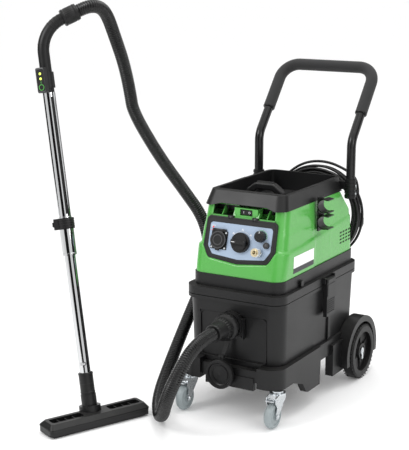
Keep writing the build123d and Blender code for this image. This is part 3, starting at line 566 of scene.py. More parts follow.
def make_finishes(colours):
    black = tuple(colours.black)
    moulded("black_plastic", shade(black, 0.2), 0.38, shine=0.3)
    moulded("green_plastic", shade(colours.green, 0.88), 0.26, 1400.0, 0.00002, 0.02, 0.15, 0.04, 0.5)
    moulded("bezel_plastic", shade(colours.bezel, 0.16), 0.40, shine=0.25)
    moulded("panel_foil", shade(colours.foil, 0.92), 0.42, 3200.0, 0.00002, 0.0, shine=0.3)
    moulded("knob_plastic", shade(black, 0.2), 0.30, 2200.0, 0.00003, shine=0.3)
    moulded("wheel_plastic", shade(black, 0.2), 0.40, shine=0.2)
    moulded("handle_tube", shade(black, 0.2), 0.22, 3000.0, 0.00002, 0.02, 0.1, shine=0.35)
    plated("chrome", shade(colours.chrome, 0.76), 0.06)
    plated("zinc", tuple(colours.zinc), 0.28, (40.0, 40.0, 160.0), 0.2)
    plated("brass", (0.72, 0.62, 0.42), 0.22)
    plated("motor_steel", (0.45, 0.45, 0.46), 0.35, (300.0, 300.0, 900.0))
    foamed("foam", shade(colours.foam, 0.2))
    rubbery("caster_tread", tuple(colours.tread), 0.45)
    rubbery("hose", shade(black, 0.12), 0.28, 0.0, 0.4)
    rubbery("cable_rubber", shade(black, 0.2), 0.38, 0.02, 0.3)
    rubbery("seal", shade(black, 0.3), 0.6)
    striped("copper", (0.72, 0.36, 0.16), (0.30, 0.13, 0.05), 2, 0.0012, 0.3, 1.0)
    striped("filter_paper", (0.82, 0.80, 0.72), (0.55, 0.52, 0.44), 0, 0.006, 0.9)
    board_finish("board", (0.05, 0.22, 0.09))
    moulded("float_plastic", (0.8, 0.8, 0.78), 0.35)
    moulded("label_white", (0.86, 0.86, 0.85), 0.35, 3000.0, 0.00001, 0.0)
    moulded("mark_white", (0.75, 0.76, 0.78), 0.4, 3000.0, 0.00001, 0.0)
    moulded("mark_green", (0.10, 0.45, 0.08), 0.4, 3000.0, 0.00001, 0.0)
    moulded("mark_dark", (0.03, 0.03, 0.035), 0.5, 3000.0, 0.00001, 0.0)
    # Dark grey for the remote's parts and marks; on the socket lid's rings it is a painted highlight, lighter than
    # the black lid.
    moulded("remote_grey_and_lid_highlight", (0.045, 0.045, 0.048), 0.35)
    # Near-black painted shade, for the dark inside the cover's vent slots and along the wand's groove.
    moulded("hollow", (0.004, 0.004, 0.004), 0.8, 3000.0, 0.00001, 0.0)
    foamed("bristle", shade(black, 0.6))
    glowing("lamp_red", (0.75, 0.02, 0.02), 0.6)
    glowing("lamp_lime", (0.62, 0.80, 0.10), 1.2)
    Look("card", Base_Color=(0.01, 0.01, 0.01, 1.0), Roughness=1.0, Specular_IOR_Level=0.0)
    look = Look("floor", Specular_IOR_Level=0.1, Emission_Color=(1.0, 1.0, 1.0, 1.0),
                Emission_Strength=0.08)
    grain = look.noise(30.0, 3.0)
    look.end(look.mix(grain, (0.90, 0.90, 0.90, 1), (0.94, 0.94, 0.94, 1)), 0.7 + grain * 0.1)


def dress_nodes():
    """Gives every node of the frame the procedural finish of its material slot."""
    for entry in frame["record"]["subparts"]:
        node = NODES[entry["node"]]
        look = LOOKS[entry["material_slot"]]
        if not node.material_slots:
            node.data.materials.append(look)
        for holder in node.material_slots:
            holder.link = "OBJECT"
            holder.material = look


# ---- camera, cords, stage ----

def build_stage(colours):
    scene = bpy.context.scene
    lens = bpy.data.cameras.new("view")
    lens.lens = 97.8
    lens.sensor_width = 36.0
    lens.shift_x = -0.0047
    lens.shift_y = 0.0051
    camera = bpy.data.objects.new("view", lens)
    camera.location = (1.6218, -3.1392, 1.3069)
    aim = Vector((-0.2347, 0.0, 0.4783)) - camera.location
    camera.rotation_euler = aim.to_track_quat("-Z", "Y").to_euler()
    scene.collection.objects.link(camera)
    scene.camera = camera
    mesh = bpy.data.meshes.new("floor")
    mesh.from_pydata([(-60, -60, 0), (60, -60, 0), (60, 60, 0), (-60, 60, 0)], [], [(0, 1, 2, 3)])
    mesh.materials.append(LOOKS["floor"])
    floor = bpy.data.objects.new("floor", mesh)
    scene.collection.objects.link(floor)
    world = bpy.data.worlds.new("studio")
    world.use_nodes = True
    backdrop = world.node_tree.nodes["Background"]
    backdrop.inputs["Color"].default_value = (1.0, 1.0, 1.0, 1.0)
    backdrop.inputs["Strength"].default_value = colours.room_light
    scene.world = world
    scene.view_settings.view_transform = "Standard"
    lights = (("key", (-1.6, -2.6, 2.6), 1.2, 42.0), ("side", (2.8, -0.8, 1.5), 0.9, 12.0),
              ("top", (0.2, 0.4, 3.0), 1.6, 30.0))
    for name, where, size, power in lights:
        lamp = bpy.data.lights.new(name, "AREA")
        lamp.shape = "SQUARE"
        lamp.size = size
        lamp.energy = power
        holder = bpy.data.objects.new(name, lamp)
        holder.location = where
        holder.rotation_euler = (Vector((0, 0, 0.4)) - Vector(where)).to_track_quat("-Z", "Y").to_euler()
        scene.collection.objects.link(holder)
    for degree in range(12, 372, 90):
        angle = math.radians(degree)
        dark_card(scene, (3.6 * math.sin(angle) - 0.2, -3.6 * math.cos(angle) - 0.2, 1.2), 3.0)


def dark_card(scene, where, width):
    """A dark upright board that only shows in reflections."""
    mesh = bpy.data.meshes.new("card")
    half = width / 2
    mesh.from_pydata([(-half, -1.2, 0), (half, -1.2, 0), (half, 1.6, 0), (-half, 1.6, 0)], [],
                     [(0, 1, 2, 3)])
    mesh.materials.append(LOOKS["card"])
    card = bpy.data.objects.new("card", mesh)
    card.location = where
    aim = Vector((-0.2, -0.2, where[2])) - Vector(where)
    card.rotation_euler = aim.to_track_quat("-Z", "Y").to_euler()
    card.visible_camera = False
    card.visible_diffuse = False
    card.visible_shadow = False
    scene.collection.objects.link(card)


def build_hose(sizes):
    """The ribbed suction hose, along the points of its route's spline."""
    line = route_points("hose_line", HOSE_ROUTE, 24)
    path = evenly(line, sizes.hose_rib_pitch / 4)
    outer = 19.0
    low = outer - sizes.hose_rib_depth * 1000
    profile = (low, (outer + low) / 2 + 0.4, outer, (outer + low) / 2 + 0.4)
    radii = [profile[i % 4] for i in range(len(path))]
    hose = Form().tube([p * 1000 for p in path], radii, 28)
    hose = hose.done("ribbed_hose", "tank_unit", "hose", None, 60.0)
    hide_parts("suction_hose")
    length = sum((b - a).length for a, b in zip(path, path[1:]))


def cable_route(turns):
    """The cable's route points: the lead, three layers of turns, and the way to the plug."""
    route = list(CABLE_ROUTE)
    first = math.radians(197)
    per_turn = 14
    count = int(round((turns + 142 / 360) * per_turn))
    for i in range(1, count + 1):
        t = i / count
        layer = min(2, int(t * 3))
        along = t * 3 - layer
        if layer == 0:
            radius = 0.1155 + 0.039 * along
        elif layer == 1:
            radius = 0.1545 - 0.031 * along
        else:
            radius = 0.1235 + 0.032 * along
        depth = (0.3055, 0.2915, 0.2775)[layer]
        after = (0.3055, 0.2915, 0.2775)[max(0, layer - 1)]
        depth = after + (depth - after) * eased(along * 3)
        if layer == 0:
            depth = 0.2946 + (0.3055 - 0.2946) * eased(along * 4)
        tail = eased((t - 0.955) / 0.045)
        radius += (0.1655 - radius) * tail
        depth += (0.3070 - depth) * tail
        angle = first - math.radians(360 * turns + 142) * t
        radius += 0.0008 * math.sin(3.1 * i)
        route.append((radius * math.cos(angle) + COIL_CENTRE[0] / 1000, depth,
                      radius * math.sin(angle) + COIL_CENTRE[1] / 1000))
    return route + CABLE_TAIL


def build_cable(sizes):
    """The mains cable, from its gland through the coil to the plug."""
    route = cable_route(sizes.cable_turns)
    curve = cord_curve("mains_lead", route, 6)
    curve.bevel_depth = 0.00425
    curve.bevel_resolution = 3
    curve.materials.append(LOOKS["cable_rubber"])
    cable = bpy.data.objects.new("mains_lead", curve)
    bpy.context.scene.collection.objects.link(cable)
    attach(cable, "head")
    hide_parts("mains_cable", "mains_coil")
    line = route_points("lead_line", route, 6)


# ---- head ----

def cover_point(column, z, side):
    """A point on the cover's outline at a height, and which way it looks."""
    t = (z - COVER_Z) / (COVER_TOP_Z - COVER_Z)
    half = COVER_HALF + (COVER_TOP_HALF - COVER_HALF) * t
    front = COVER_FRONT + FRONT_LEAN * (z - COVER_Z)
    rear = COVER_REAR - 3 * t
    kind, at = column
    c = COVER_CORNER
    if kind == "front":
        x, y, look = at, front, (0, -1)
    elif kind == "corner":
        a = math.radians(at)
        x = half - c + c * math.sin(a)
        y = front + c - c * math.cos(a)
        look = (math.sin(a), -math.cos(a))
    elif kind == "side":
        x, look = half, (1, 0)
        y = front + c + (rear - front - 2 * c) * at
    else:
        a = math.radians(at)
        x = half - c + c * math.cos(a)
        y = rear - c + c * math.sin(a)
        look = (math.cos(a), math.sin(a))
    return Vector((side * x, y, z)), Vector((side * look[0], look[1], 0))


def crease_height(point):
    """The height of the cover's crease over a point of its outline."""
    x, y = abs(point.x), point.y
    if y < -190:
        return between(x, [(0, 438), (94, 449), (104, 462), (112, 480), (120, 486), (134, 482)])
    return between(y, [(-190, 481), (-109, 483), (-24, 491), (112, 501), (257, 511)])


def crease_size(point, size):
    if point.y < -200 and abs(point.x) < 112:
        return size * 0.75
    return size * between(point.y, [(-200, 1.0), (60, 0.9), (257, 0.45)])


def lifted(point, look, z, size):
    """A point of the cover moved out to its creased surface."""
    top = crease_height(point)
    rise = crease_size(point, size)
    if z <= top:
        out = rise * max(0.0, (z - COVER_Z) / (top - COVER_Z)) ** 0.8
    else:
        out = rise * (1 - eased((z - top) / 9.0))
    seam = 0.8 * math.exp(-((point.y - 82) / 1.6) ** 2) if z < 522 else 0.0
    step = 1.4 * (1 - eased((point.y + 22) / 3)) * (1 - eased((z - 536) / 4))
    return point + look * (0.35 + out + seam + step)


def cover_patch(form, columns, side, size):
    rows = []
    for column in columns:
        base, _ = cover_point(column, 480, side)
        crease = crease_height(base)
        top = COVER_TOP_Z
        if column[0] == "front" and abs(column[1]) < RECESS_HALF:
            top = RECESS_Z
        elif base.y > 168:
            top = between(base.y, [(168, COVER_TOP_Z), (236, 530), (300, 514)])
        levels = [COVER_Z + 0.5 + (crease - COVER_Z - 0.5) * i / 14 for i in range(15)]
        levels += [crease + 10 * i / 8 for i in range(1, 9)]
        levels += [crease + 10 + (top - 0.4 - crease - 10) * i / 12 for i in range(1, 13)]
        row = []
        for z in levels:
            point, look = cover_point(column, z, side)
            row.append(lifted(point, look, z, size))
        rows.append(row)
    form.grid(rows)


def under_panel(corner):
    """Whether a corner of the front face lies behind the control panel's sheet."""
    return corner.y < -180 and abs(corner.x) < 94 and 462 < corner.z < 558


def side_surface(side, y, z, lift, size):
    t = (z - COVER_Z) / (COVER_TOP_Z - COVER_Z)
    half = COVER_HALF + (COVER_TOP_HALF - COVER_HALF) * t
    return lifted(Vector((side * half, y, z)), Vector((side, 0, 0)), z, size) + Vector((side * lift, 0, 0))


def side_sheet(form, side, y0, y1, z0, z1, lift, size, across=12, up=6, lean=0.0):
    """A thin sheet on the cover's side that follows its surface."""
    rows = []
    for j in range(up + 1):
        z = z0 + (z1 - z0) * j / up
        rows.append([side_surface(side, y0 + (y1 - y0) * i / across,
                                  z + lean * (y0 + (y1 - y0) * i / across - y0), lift, size)
                     for i in range(across + 1)])
    form.grid(rows)


def build_cover(sizes):
    """The cover's creased shell, its vents, its blank label and the ribs in its recess."""
    size = sizes.crease * 1000
    shell = Form()
    for side in (-1, 1):
        columns = [("front", RECESS_HALF)]
        columns += [("corner", 90 * i / 12) for i in range(13)]
        columns += [("side", i / 90) for i in range(1, 90)]
        columns += [("rear", 90 * i / 6) for i in range(7)]
        cover_patch(shell, columns, side, size)
    cover_patch(shell, [("front", -103.9 + 207.8 * i / 52) for i in range(53)], 1, size)
    shell.faces = [face for face in shell.faces
                   if not all(under_panel(shell.corners[i]) for i in face)]
    shell.done("cover_shell", "head", "green_plastic", None, 50.0)
    # The vents are thin near-black sheets on the cover's surface: painted shade where the vent slots are dark
    # inside.
    vents = Form()
    for i in range(4):
        for j in range(4):
            y = 153 + 20.5 * i
            z = 440 + 10.5 * j
            side_sheet(vents, 1, y, y + 13, z, z + 4.6, 0.35, size, 4, 2, 0.06)
            side_sheet(vents, -1, y, y + 13, z, z + 4.6, 0.35, size, 4, 2, 0.06)
    vents.done("cover_vents", "head", "green_plastic", "hollow")
    label = Form()
    side_sheet(label, 1, -163, -32, 434, 468, 0.4, size)
    label.done("label_upper", "head", "green_plastic", "label_white")
    label = Form()
    side_sheet(label, 1, -163, -32, 419, 434, 0.4, size)
    label.done("label_lower", "head", "green_plastic", "mark_dark")
    ribs = Form()
    for side in (-1, 1):
        place = place_of((side * 72, 0, 0), (0, 1, 0), (1, 0, 0))
        outline = [(-188, RECESS_Z + 0.2), (-160, RECESS_Z + 0.2), (-160, 594), (-168, 594)]
        ribs.slab(outline, place, -1.4, 1.4, 0.4)
    for x in (-30, 44):
        place = place_of((x, 0, 0), (0, 1, 0), (1, 0, 0))
        flare = [(-192, RECESS_Z + 0.2), (-172, RECESS_Z + 0.2), (-172, 590), (-184, 588)]
        ribs.slab(flare, place, -4, 4, 1.0)
    ribs.done("recess_ribs", "head", "green_plastic")
    tabs = Form()
    marks = Form()
    for x in (-38, 40):
        tabs.slab(rounded(x - 9, x + 9, 57, 68, 2), PANEL, 0.5, 7.5, 1.2)
        marks.slab([(x - 4, 65), (x + 4, 65), (x, 59.5)], PANEL, 7.4, 7.7)
    tabs.done("panel_tabs", "head", "bezel_plastic", "knob_plastic")
    marks.done("tab_marks", "head", "bezel_plastic", "remote_grey_and_lid_highlight")


def screw(form, place, centre, low, radius):
    form.hoop(place, centre, 0.001, radius, low, low + 0.9, sides=20)
    form.hoop(place, centre, radius * 0.55, radius * 0.98, low + 0.9, low + 1.3, sides=20)


def build_panel():
    """Marks, lamps, screws and fine rings of the control panel."""
    rim = Form()
    outline = filleted([(-112, 62), (112, 62), (115, -26), (96, -58), (0, -68), (-96, -58),
                        (-115, -26)], 13)
    rings = []
    for amount, height in ((0.2, 4.6), (1.2, 6.2), (3.6, 6.4), (5.0, 4.9)):
        rings.append([PANEL @ Vector((u, v, height)) for u, v in inset(outline, amount)])
    rim.rings(rings, False)
    rim.done("bezel_rim", "head", "bezel_plastic")
    marks = Form()
    marks.hoop(PANEL, SELECTOR, 32.0, 32.7, SHEET_TOP, SHEET_TOP + 0.12, 20, 160)
    for angle in (-50, 0, 50):
        a = math.radians(90 + angle)
        u, v = SELECTOR[0] + 36 * math.cos(a), SELECTOR[1] + 36 * math.sin(a)
        marks.slab(rounded(u - 3.4, u + 3.4, v - 1.0, v + 1.0, 0.8), PANEL, SHEET_TOP, SHEET_TOP + 0.12)
        marks.slab(rounded(u - 2.2, u + 2.2, v + 2.0, v + 3.4, 0.6), PANEL, SHEET_TOP, SHEET_TOP + 0.12)
    for i in range(9):
        a = math.radians(-45 + 33.75 * i)
        u, v = SPEED[0] + 20.5 * math.cos(a), SPEED[1] + 20.5 * math.sin(a)
        marks.slab(rounded(u - 0.6, u + 0.6, v - 0.6, v + 0.6, 0.5), PANEL, SHEET_TOP, SHEET_TOP + 0.12)
    marks.slab(rounded(-97, -83, 33, 34.2, 0.5), PANEL, SHEET_TOP, SHEET_TOP + 0.12)
    marks.slab(rounded(-97, -88, 29, 30.2, 0.5), PANEL, SHEET_TOP, SHEET_TOP + 0.12)
    marks.done("panel_marks", "head", "panel_foil", "mark_white")
    line = Form()
    line.hoop(PANEL, SPEED, 17.2, 18.2, SHEET_TOP, SHEET_TOP + 0.15, -20, 200)
    line.done("speed_scale", "head", "panel_foil", "mark_green")
    lamp = Form()
    lamp.turned([(2.6, 0), (2.6, 1.2), (1.8, 2.0), (0.4, 2.3)],
                PANEL @ Vector((-90, 20, SHEET_TOP)), PANEL.to_3x3() @ Vector((0, 0, 1)), 20)
    lamp.turned([(2.2, 0), (2.2, 0.8), (1.2, 1.3)],
                PANEL @ Vector((-90, 29, SHEET_TOP)), PANEL.to_3x3() @ Vector((0, 0, 1)), 20)
    lamp.done("panel_lamps", "head", "panel_foil", "lamp_red")
    screws = Form()
    for du, dv in ((21.5, 21.5), (21.5, -22), (-21, -22)):
        screw(screws, PANEL, (SOCKET[0] + du, SOCKET[1] + dv), SHEET_TOP + 3, 2.6)
    screws.done("socket_screws", "head", "zinc")
    # The lid's rings stand up from the lid and are painted a lighter grey than the black lid: a painted highlight
    # on its edges.
    lid = Form()
    for inner, outer in ((22.0, 24.8), (13.0, 15.4)):
        low = 14.6 if inner < 20 else 13.2
        lid.hoop(PANEL, SOCKET, inner, outer, low, low + 0.8)
    lid.done("lid_rings", "lid", "knob_plastic", "remote_grey_and_lid_highlight")
    knob = Form()
    for inner, outer, low in ((25.2, 28.2, 13.0), (19.6, 22.4, 16.0)):
        knob.hoop(PANEL, SELECTOR, inner, outer, low, low + 0.9)
    u, v = SELECTOR
    knob.slab(rounded(u - 22, u + 22, v - 4.6, v + 4.6, 4), PANEL, 26.0, 27.6, 1.2)
    knob.done("selector_rings", "selector", "knob_plastic")
    mark = Form().slab(rounded(u - 20, u - 9, v - 0.8, v + 0.8, 0.7), PANEL, 27.5, 27.75)
    mark.done("selector_mark", "selector", "knob_plastic", "mark_white")
    out = PANEL.to_3x3() @ Vector((0, 0, 1))
    knob = Form().turned([(16.2, 0), (16.6, 2), (15.6, 14.6), (13.6, 16.4), (9, 16.8), (8, 16.0), (0.3, 16.0)],
                         PANEL @ Vector((SPEED[0], SPEED[1], SHEET_TOP + 0.5)), out, 96, True, 16, 0.9)
    knob.done("speed_grip", "speed", "knob_plastic")
    mark = Form().slab(rounded(SPEED[0] - 0.8, SPEED[0] + 0.8, SPEED[1] + 8.5, SPEED[1] + 14, 0.6),
                       PANEL, 21.0, 21.6)
    mark.done("speed_mark", "speed", "knob_plastic", "mark_white")
    ring = Form().hoop(PANEL, RESET, 6.6, 8.4, SHEET_TOP + 7.9, SHEET_TOP + 8.9, sides=32)
    ring.turned([(5.4, 0), (5.0, 0.9), (0.4, 1.4)], PANEL @ Vector((*RESET, SHEET_TOP + 7.8)), out, 32)
    ring.done("reset_ring", "reset", "knob_plastic", "remote_grey_and_lid_highlight")
    centre = PANEL @ Vector((*COUPLER, SHEET_TOP))
    nut = Form().turned([(12.6, 2), (12.6, 10), (11.6, 11)], centre, out, 6)
    nut.turned([(9.4, 11), (9.4, 13.0), (10.4, 13.8), (10.4, 16.0)], centre, out, 40)
    nut.done("coupler_nut", "head", "brass", "zinc", 30.0, 0.4)
    sleeve = Form()
    for i in range(5):
        low = 19.0 + 2.3 * i
        sleeve.turned([(12.0, low), (12.5, low + 0.4), (12.5, low + 1.2), (12.0, low + 1.6)],
                      centre, out, 40, False)
    sleeve.done("coupler_knurl", "sleeve", "brass", "zinc")
    face = place_of((7, -186, 585), (1, 0, 0), (0, -1, 0))
    rocker = Form().slab(rounded(-18.4, 18.4, -7.0, 7.0, 2), face, -1.0, 1.2, 1.0)
    rocker.done("rocker_face", "rocker", "knob_plastic", None, 35.0, 0.3)
    mark = Form().slab(rounded(-9.6, -8.4, -3, 3, 0.5), face, 1.1, 1.35)
    mark.hoop(face, (9, 0), 2.2, 3.0, 1.1, 1.35, sides=24)
    mark.done("rocker_marks", "rocker", "knob_plastic", "mark_white")


def build_tray():
    """Grip ribs and lining ribs of the storage tray and its handle."""
    ribs = Form()
    for i in range(9):
        y = -40 + 9 * i
        for side in (-1, 1):
            place = side_place(side, 118.5)
            low, high = sorted((side * (y - 2.4), side * (y + 2.4)))
            ribs.slab(rounded(low, high, 638, 641.2, 1.2), place, -6.5, 3.4, 0.8)
    for i in range(7):
        x = -90 + 30 * i
        ribs.slab(rounded(x - 1.2, x + 1.2, 60, 176, 1), place_of((0, 0, 0), (1, 0, 0), (0, 0, 1)),
                  582.0, 583.0, 0.4)
    ribs.done("tray_ribs", "head", "black_plastic")
    grip = Form()
    for i in range(11):
        x = -25 + 5 * i
        path = [Vector((x, -60 + 10.6 * math.cos(a), 640 + 13.4 * math.sin(a)))
                for a in (math.radians(-20 + 220 * k / 16) for k in range(17))]
        grip.tube(path, 0.9, 8)
    grip.done("carry_grip_ribs", "head", "black_plastic")


def build_handle():
    """End rings of the foam grip and screws in the handle's sockets."""
    rings = Form()
    top = Vector((156, 358, 953))
    knee = Vector((156, 188, 749))
    way = (knee - top).normalized()
    for side in (-1, 1):
        point = top + way * 165
        start = Vector((side * point.x, point.y, point.z))
        along = Vector((side * way.x, way.y, way.z))
        rings.turned([(13.8, -1), (18.3, -0.6), (18.5, 1.4), (17.4, 3.6), (13.8, 4.0)], start, along, 40)
    rings.done("foam_ends", "head", "foam", "black_plastic")
    screws = Form()
    for side in (-1, 1):
        place = side_place(side, 156)
        for z in (592, 616):
            screw(screws, place, (side * 188, z), 17.2, 3.4)
    screws.done("socket_bolts", "head", "zinc")


# ---- tank, wheels ----

def build_tank():
    """Beads, ribs and studs of the tank."""
    trim = Form()
    front = place_of((0, -250.6, 0), (1, 0, 0), (0, -1, 0))
    outer = rounded(-108, 108, 168, 303, 14, 6)
    inner = inset(outer, 2.2)
    trim.rings([[front @ Vector((u, v, -2.0)) for u, v in outer],
                [front @ Vector((u, v, 0.9)) for u, v in inset(outer, 0.5)],
                [front @ Vector((u, v, 0.9)) for u, v in inner],
                [front @ Vector((u, v, -4.0)) for u, v in inset(outer, 3.0)]], False)
    trim.done("tank_bead", "tank_unit", "black_plastic")
    ribs = Form()
    studs = Form()
    for side in (-1, 1):
        place = side_place(side, 150)
        ribs.slab(side_outline(side, 57, 73, 170, 250, 3), place, -2, 3.6, 1.0)
        studs.slab(side_outline(side, -128, -112, 374, 392, 3), side_place(side, 145), -1, 8, 1.4)
    ribs.done("side_ribs", "tank_unit", "black_plastic")
    studs.done("skirt_studs", "head", "black_plastic")


def build_inlet():
    centre = (0, 0, INLET_Z)
    grip = Form()
    axis = (0, -1, 0)
    grip.turned([(31.5, 307), (33.2, 309), (33.2, 318), (29.5, 326)], centre, axis, 120, False, 24, 1.6)
    grip.turned([(38.3, 283), (39.2, 284.5), (39.2, 294), (38.3, 295.5)], centre, axis, 96, False, 12, 0.9)
    grip.turned([(24.6, 350), (25.6, 351), (25.6, 362), (24.2, 364.5)], centre, axis, 96, False, 20, 0.8)
    grip.done("connector_grip", "connector", "black_plastic")
    flange = Form()
    place = place_of((0, -265, INLET_Z), (1, 0, 0), (0, -1, 0))
    for x in (-33, 33):
        screw(flange, place, (x, -31), 0.2, 3.2)
    flange.done("flange_screws", "tank_unit", "zinc", "black_plastic")
    cap = Form()
    place = place_of((-19, -298, 133.5), (1, 0, 0), (0, -1, 0))
    cap.hoop(place, (0, 0), 24.0, 26.0, -7.0, -5.4)
    cap.hoop(place, (0, 0), 38.2, 41.4, -1.0, 0.8)
    cap.done("cap_rings", "cap", "black_plastic")


def build_latches():
    """Ribbed grips and caps of the two side latches."""
    for side, name in ((-1, "left"), (1, "right")):
        place = side_place(side, 170.5)
        latch = Form()
        for i in range(7):
            z = 262 + 6.2 * i
            latch.slab(side_outline(side, 14, 62, z, z + 2.6, 1.2), place, -0.5, 1.6, 0.6)
        latch.slab(side_outline(side, 12, 64, 312, 350, 4), place, -0.5, 1.4, 0.8)
        latch.slab(side_outline(side, 12, 64, 353, 364, 3), place, -6, 1.8, 1.0)
        latch.done(f"latch_grip_{name}", f"latch_{name}_arm", "black_plastic")


def build_wheels():
    """Tread, spokes and clips of the rear wheels; rims and rivets of the casters."""
    for side, name in ((-1, "left"), (1, "right")):
        x, y, z = REAR_WHEEL
        wheel = Form()
        face = place_of((side * 195, y, z), (0, side, 0), (side, 0, 0))
        for k in range(6):
            turn = Matrix.Rotation(math.radians(60 * k + 30), 4, "Z")
            wheel.slab(rounded(22, 64, -1.6, 1.6, 1), face @ turn, -16, -11, 0.8)
        wheel.hoop(face, (0, 0), 61.5, 67.5, -14, -0.6, sides=64)
        wheel.hoop(face, (0, 0), 18, 24, -9, -5.4, sides=40)
        for k in range(40):
            turn = Matrix.Rotation(math.radians(9 * k), 4, "Z")
            wheel.slab([(84.6, -1.6), (86.4, -1.6), (86.4, 1.6), (84.6, 1.6)], face @ turn, -37, -1.5)
        wheel.done(f"wheel_trim_{name}", f"wheel_{name}", "wheel_plastic")
        clip = Form()
        clip.slab(rounded(-4.2, 4.2, -26, 4, 3.2), face, -5.0, -2.6, 0.6)
        clip.done(f"axle_clip_{name}", "tank_unit", "zinc")
        cx, cy, cz = CASTER
        for end in (-1, 1):
            disc = Form()
            face = place_of((side * cx + end * 12, cy, cz), (0, 1, 0), (end, 0, 0))
            disc.hoop(face, (0, 0), 26.2, 27.6, -2.0, -0.6, sides=48)
            disc.hoop(face, (0, 0), 12.4, 13.6, -1.4, 0.1, sides=32)
            disc.done(f"caster_rim_{name}_{'in' if end < 0 else 'out'}", f"caster_roller_{name}",
                      "caster_tread")
        rivet = Form()
        for end in (-1, 1):
            start = (side * cx + end * 16, cy, cz)
            rivet.turned([(6.4, 0), (6.4, 1.6), (5.0, 2.6), (4.0, 3.6), (0.4, 3.8)], start, (end, 0, 0), 6)
        rivet.turned([(8, 0), (8, 3), (6.5, 4.2), (6.5, 6)], (side * cx, -250, 100.4), (0, 0, 1), 6)
        rivet.done(f"caster_nuts_{name}", f"caster_{name}", "zinc")


# ---- wand and tool ----

def wand_strip(form, u_angle, half, low, high, radius, lift):
    """A narrow strip along the wand's tube."""
    rows = []
    for s in (low, low + 3, high - 3, high):
        row = []
        for k in range(5):
            angle = u_angle + half * (k / 2 - 1)
            r = radius + (lift if 0 < k < 4 and low < s < high else -0.2)
            row.append(WAND @ Vector((r * math.cos(angle), r * math.sin(angle), s)))
        rows.append(row)
    form.grid(rows)


def facing_angle():
    """The turn about the wand's own axis that faces SEEN_FROM."""
    view = WAND.inverted() @ SEEN_FROM
    return math.atan2(view.y, view.x)


def build_wand():
    """Grooves, seams, rings and lamps of the wand and its remote control."""
    axis = WAND.to_3x3() @ Vector((0, 0, 1))
    # The groove is a thin raised strip in near-black: painted shade standing in for the groove's dark line on the
    # chrome.
    groove = Form()
    facing = facing_angle()
    wand_strip(groove, facing + 0.40, 0.22, 548, 880, 17.5, 0.3)
    groove.done("tube_groove", "wand", "chrome", "hollow")
    rings = Form()
    rings.turned([(17.6, 0), (18.3, 0.6), (18.3, 3.2), (17.6, 4)],
                 WAND @ Vector((0, 0, 538)), axis, 40, False)
    rings.turned([(20.6, 0), (21.1, 0.6), (21.1, 2.4), (20.6, 3)],
                 WAND @ Vector((0, 0, 436)), axis, 40, False)
    rings.done("tube_rings", "wand", "chrome")
    collar = Form()
    for i in range(4):
        s = 511 + 7 * i
        collar.turned([(24.1, 0), (24.9, 0.8), (24.9, 2.2), (24.1, 3)],
                      WAND @ Vector((0, 0, s)), axis, 48, False)
    collar.done("collar_ribs", "wand", "black_plastic")
    seam = Form()
    point, way = on_bend(math.radians(14))
    seam.turned([(16.4, -1.2), (17.1, -0.8), (17.1, 0.8), (16.4, 1.2)], point, way, 40, False)
    for degree in (47, 53, 59, 65):
        point, way = on_bend(math.radians(degree))
        seam.turned([(16.4, -1.6), (17.4, -0.8), (17.4, 0.8), (16.4, 1.6)], point, way, 40, False)
    path = [on_bend(math.radians(14 + 30 * k / 20))[0] for k in range(21)]
    turn = WAND.to_3x3()
    for sign in (-1, 1):
        seam.tube([p + turn @ Vector((0, sign * 16.4, 0)) for p in path], 0.7, 8)
    seam.done("handle_seams", "wand", "black_plastic")
    cuff = Form()
    start, way = on_bend(BEND_ANGLE, 1.0)
    for low in (3, 38):
        cuff.turned([(23.5, low - 1.5), (24.6, low), (24.6, low + 3), (23.5, low + 4.5)], start, way, 48, False)
    cuff.turned([(23.5, 10), (24.2, 11), (24.2, 34), (23.5, 35)], start, way, 96, False, 24, 0.7)
    cuff.done("cuff_rings", "tank_unit", "black_plastic")
    out = (WAND.to_3x3() @ Vector((-0.58, -0.81, 0))).normalized()
    face = place_of(WAND @ Vector((0, 0, 926)) + out * 33.0, axis, out)
    rim = Form()
    outline = rounded(-34.5, 34.5, -13.5, 13.5, 6)
    rim.rings([[face @ Vector((u, v, -3)) for u, v in outline],
               [face @ Vector((u, v, 0.6)) for u, v in inset(outline, 0.5)],
               [face @ Vector((u, v, 1.2)) for u, v in inset(outline, 2.0)],
               [face @ Vector((u, v, 0.2)) for u, v in inset(outline, 3.2)]], False)
    rim.done("remote_rim", "wand", "black_plastic", "remote_grey_and_lid_highlight")
    lamps = Form()
    for u in (18, 4):
        lamps.turned([(3.6, -1), (3.6, 0.6), (2.8, 1.5), (0.3, 1.9)], face @ Vector((u, 0, 0)), out, 24)
    lamps.done("remote_lamps", "wand", "black_plastic", "lamp_lime")
    ring = Form().hoop(face, (-20, 0), 7.0, 8.4, -0.4, 0.8, sides=40)
    ring.slab(rounded(-9, -3, -0.6, 0.6, 0.5), face, -0.2, 0.3)
    ring.done("remote_ring", "wand", "black_plastic", "mark_green")
    button = Form()
    button.turned([(5.2, 0), (4.8, 0.6), (0.4, 0.9)], face @ Vector((-20, 0, 0.0)), out, 32)
    button.done("remote_button_cap", "remote", "knob_plastic", "remote_grey_and_lid_highlight")


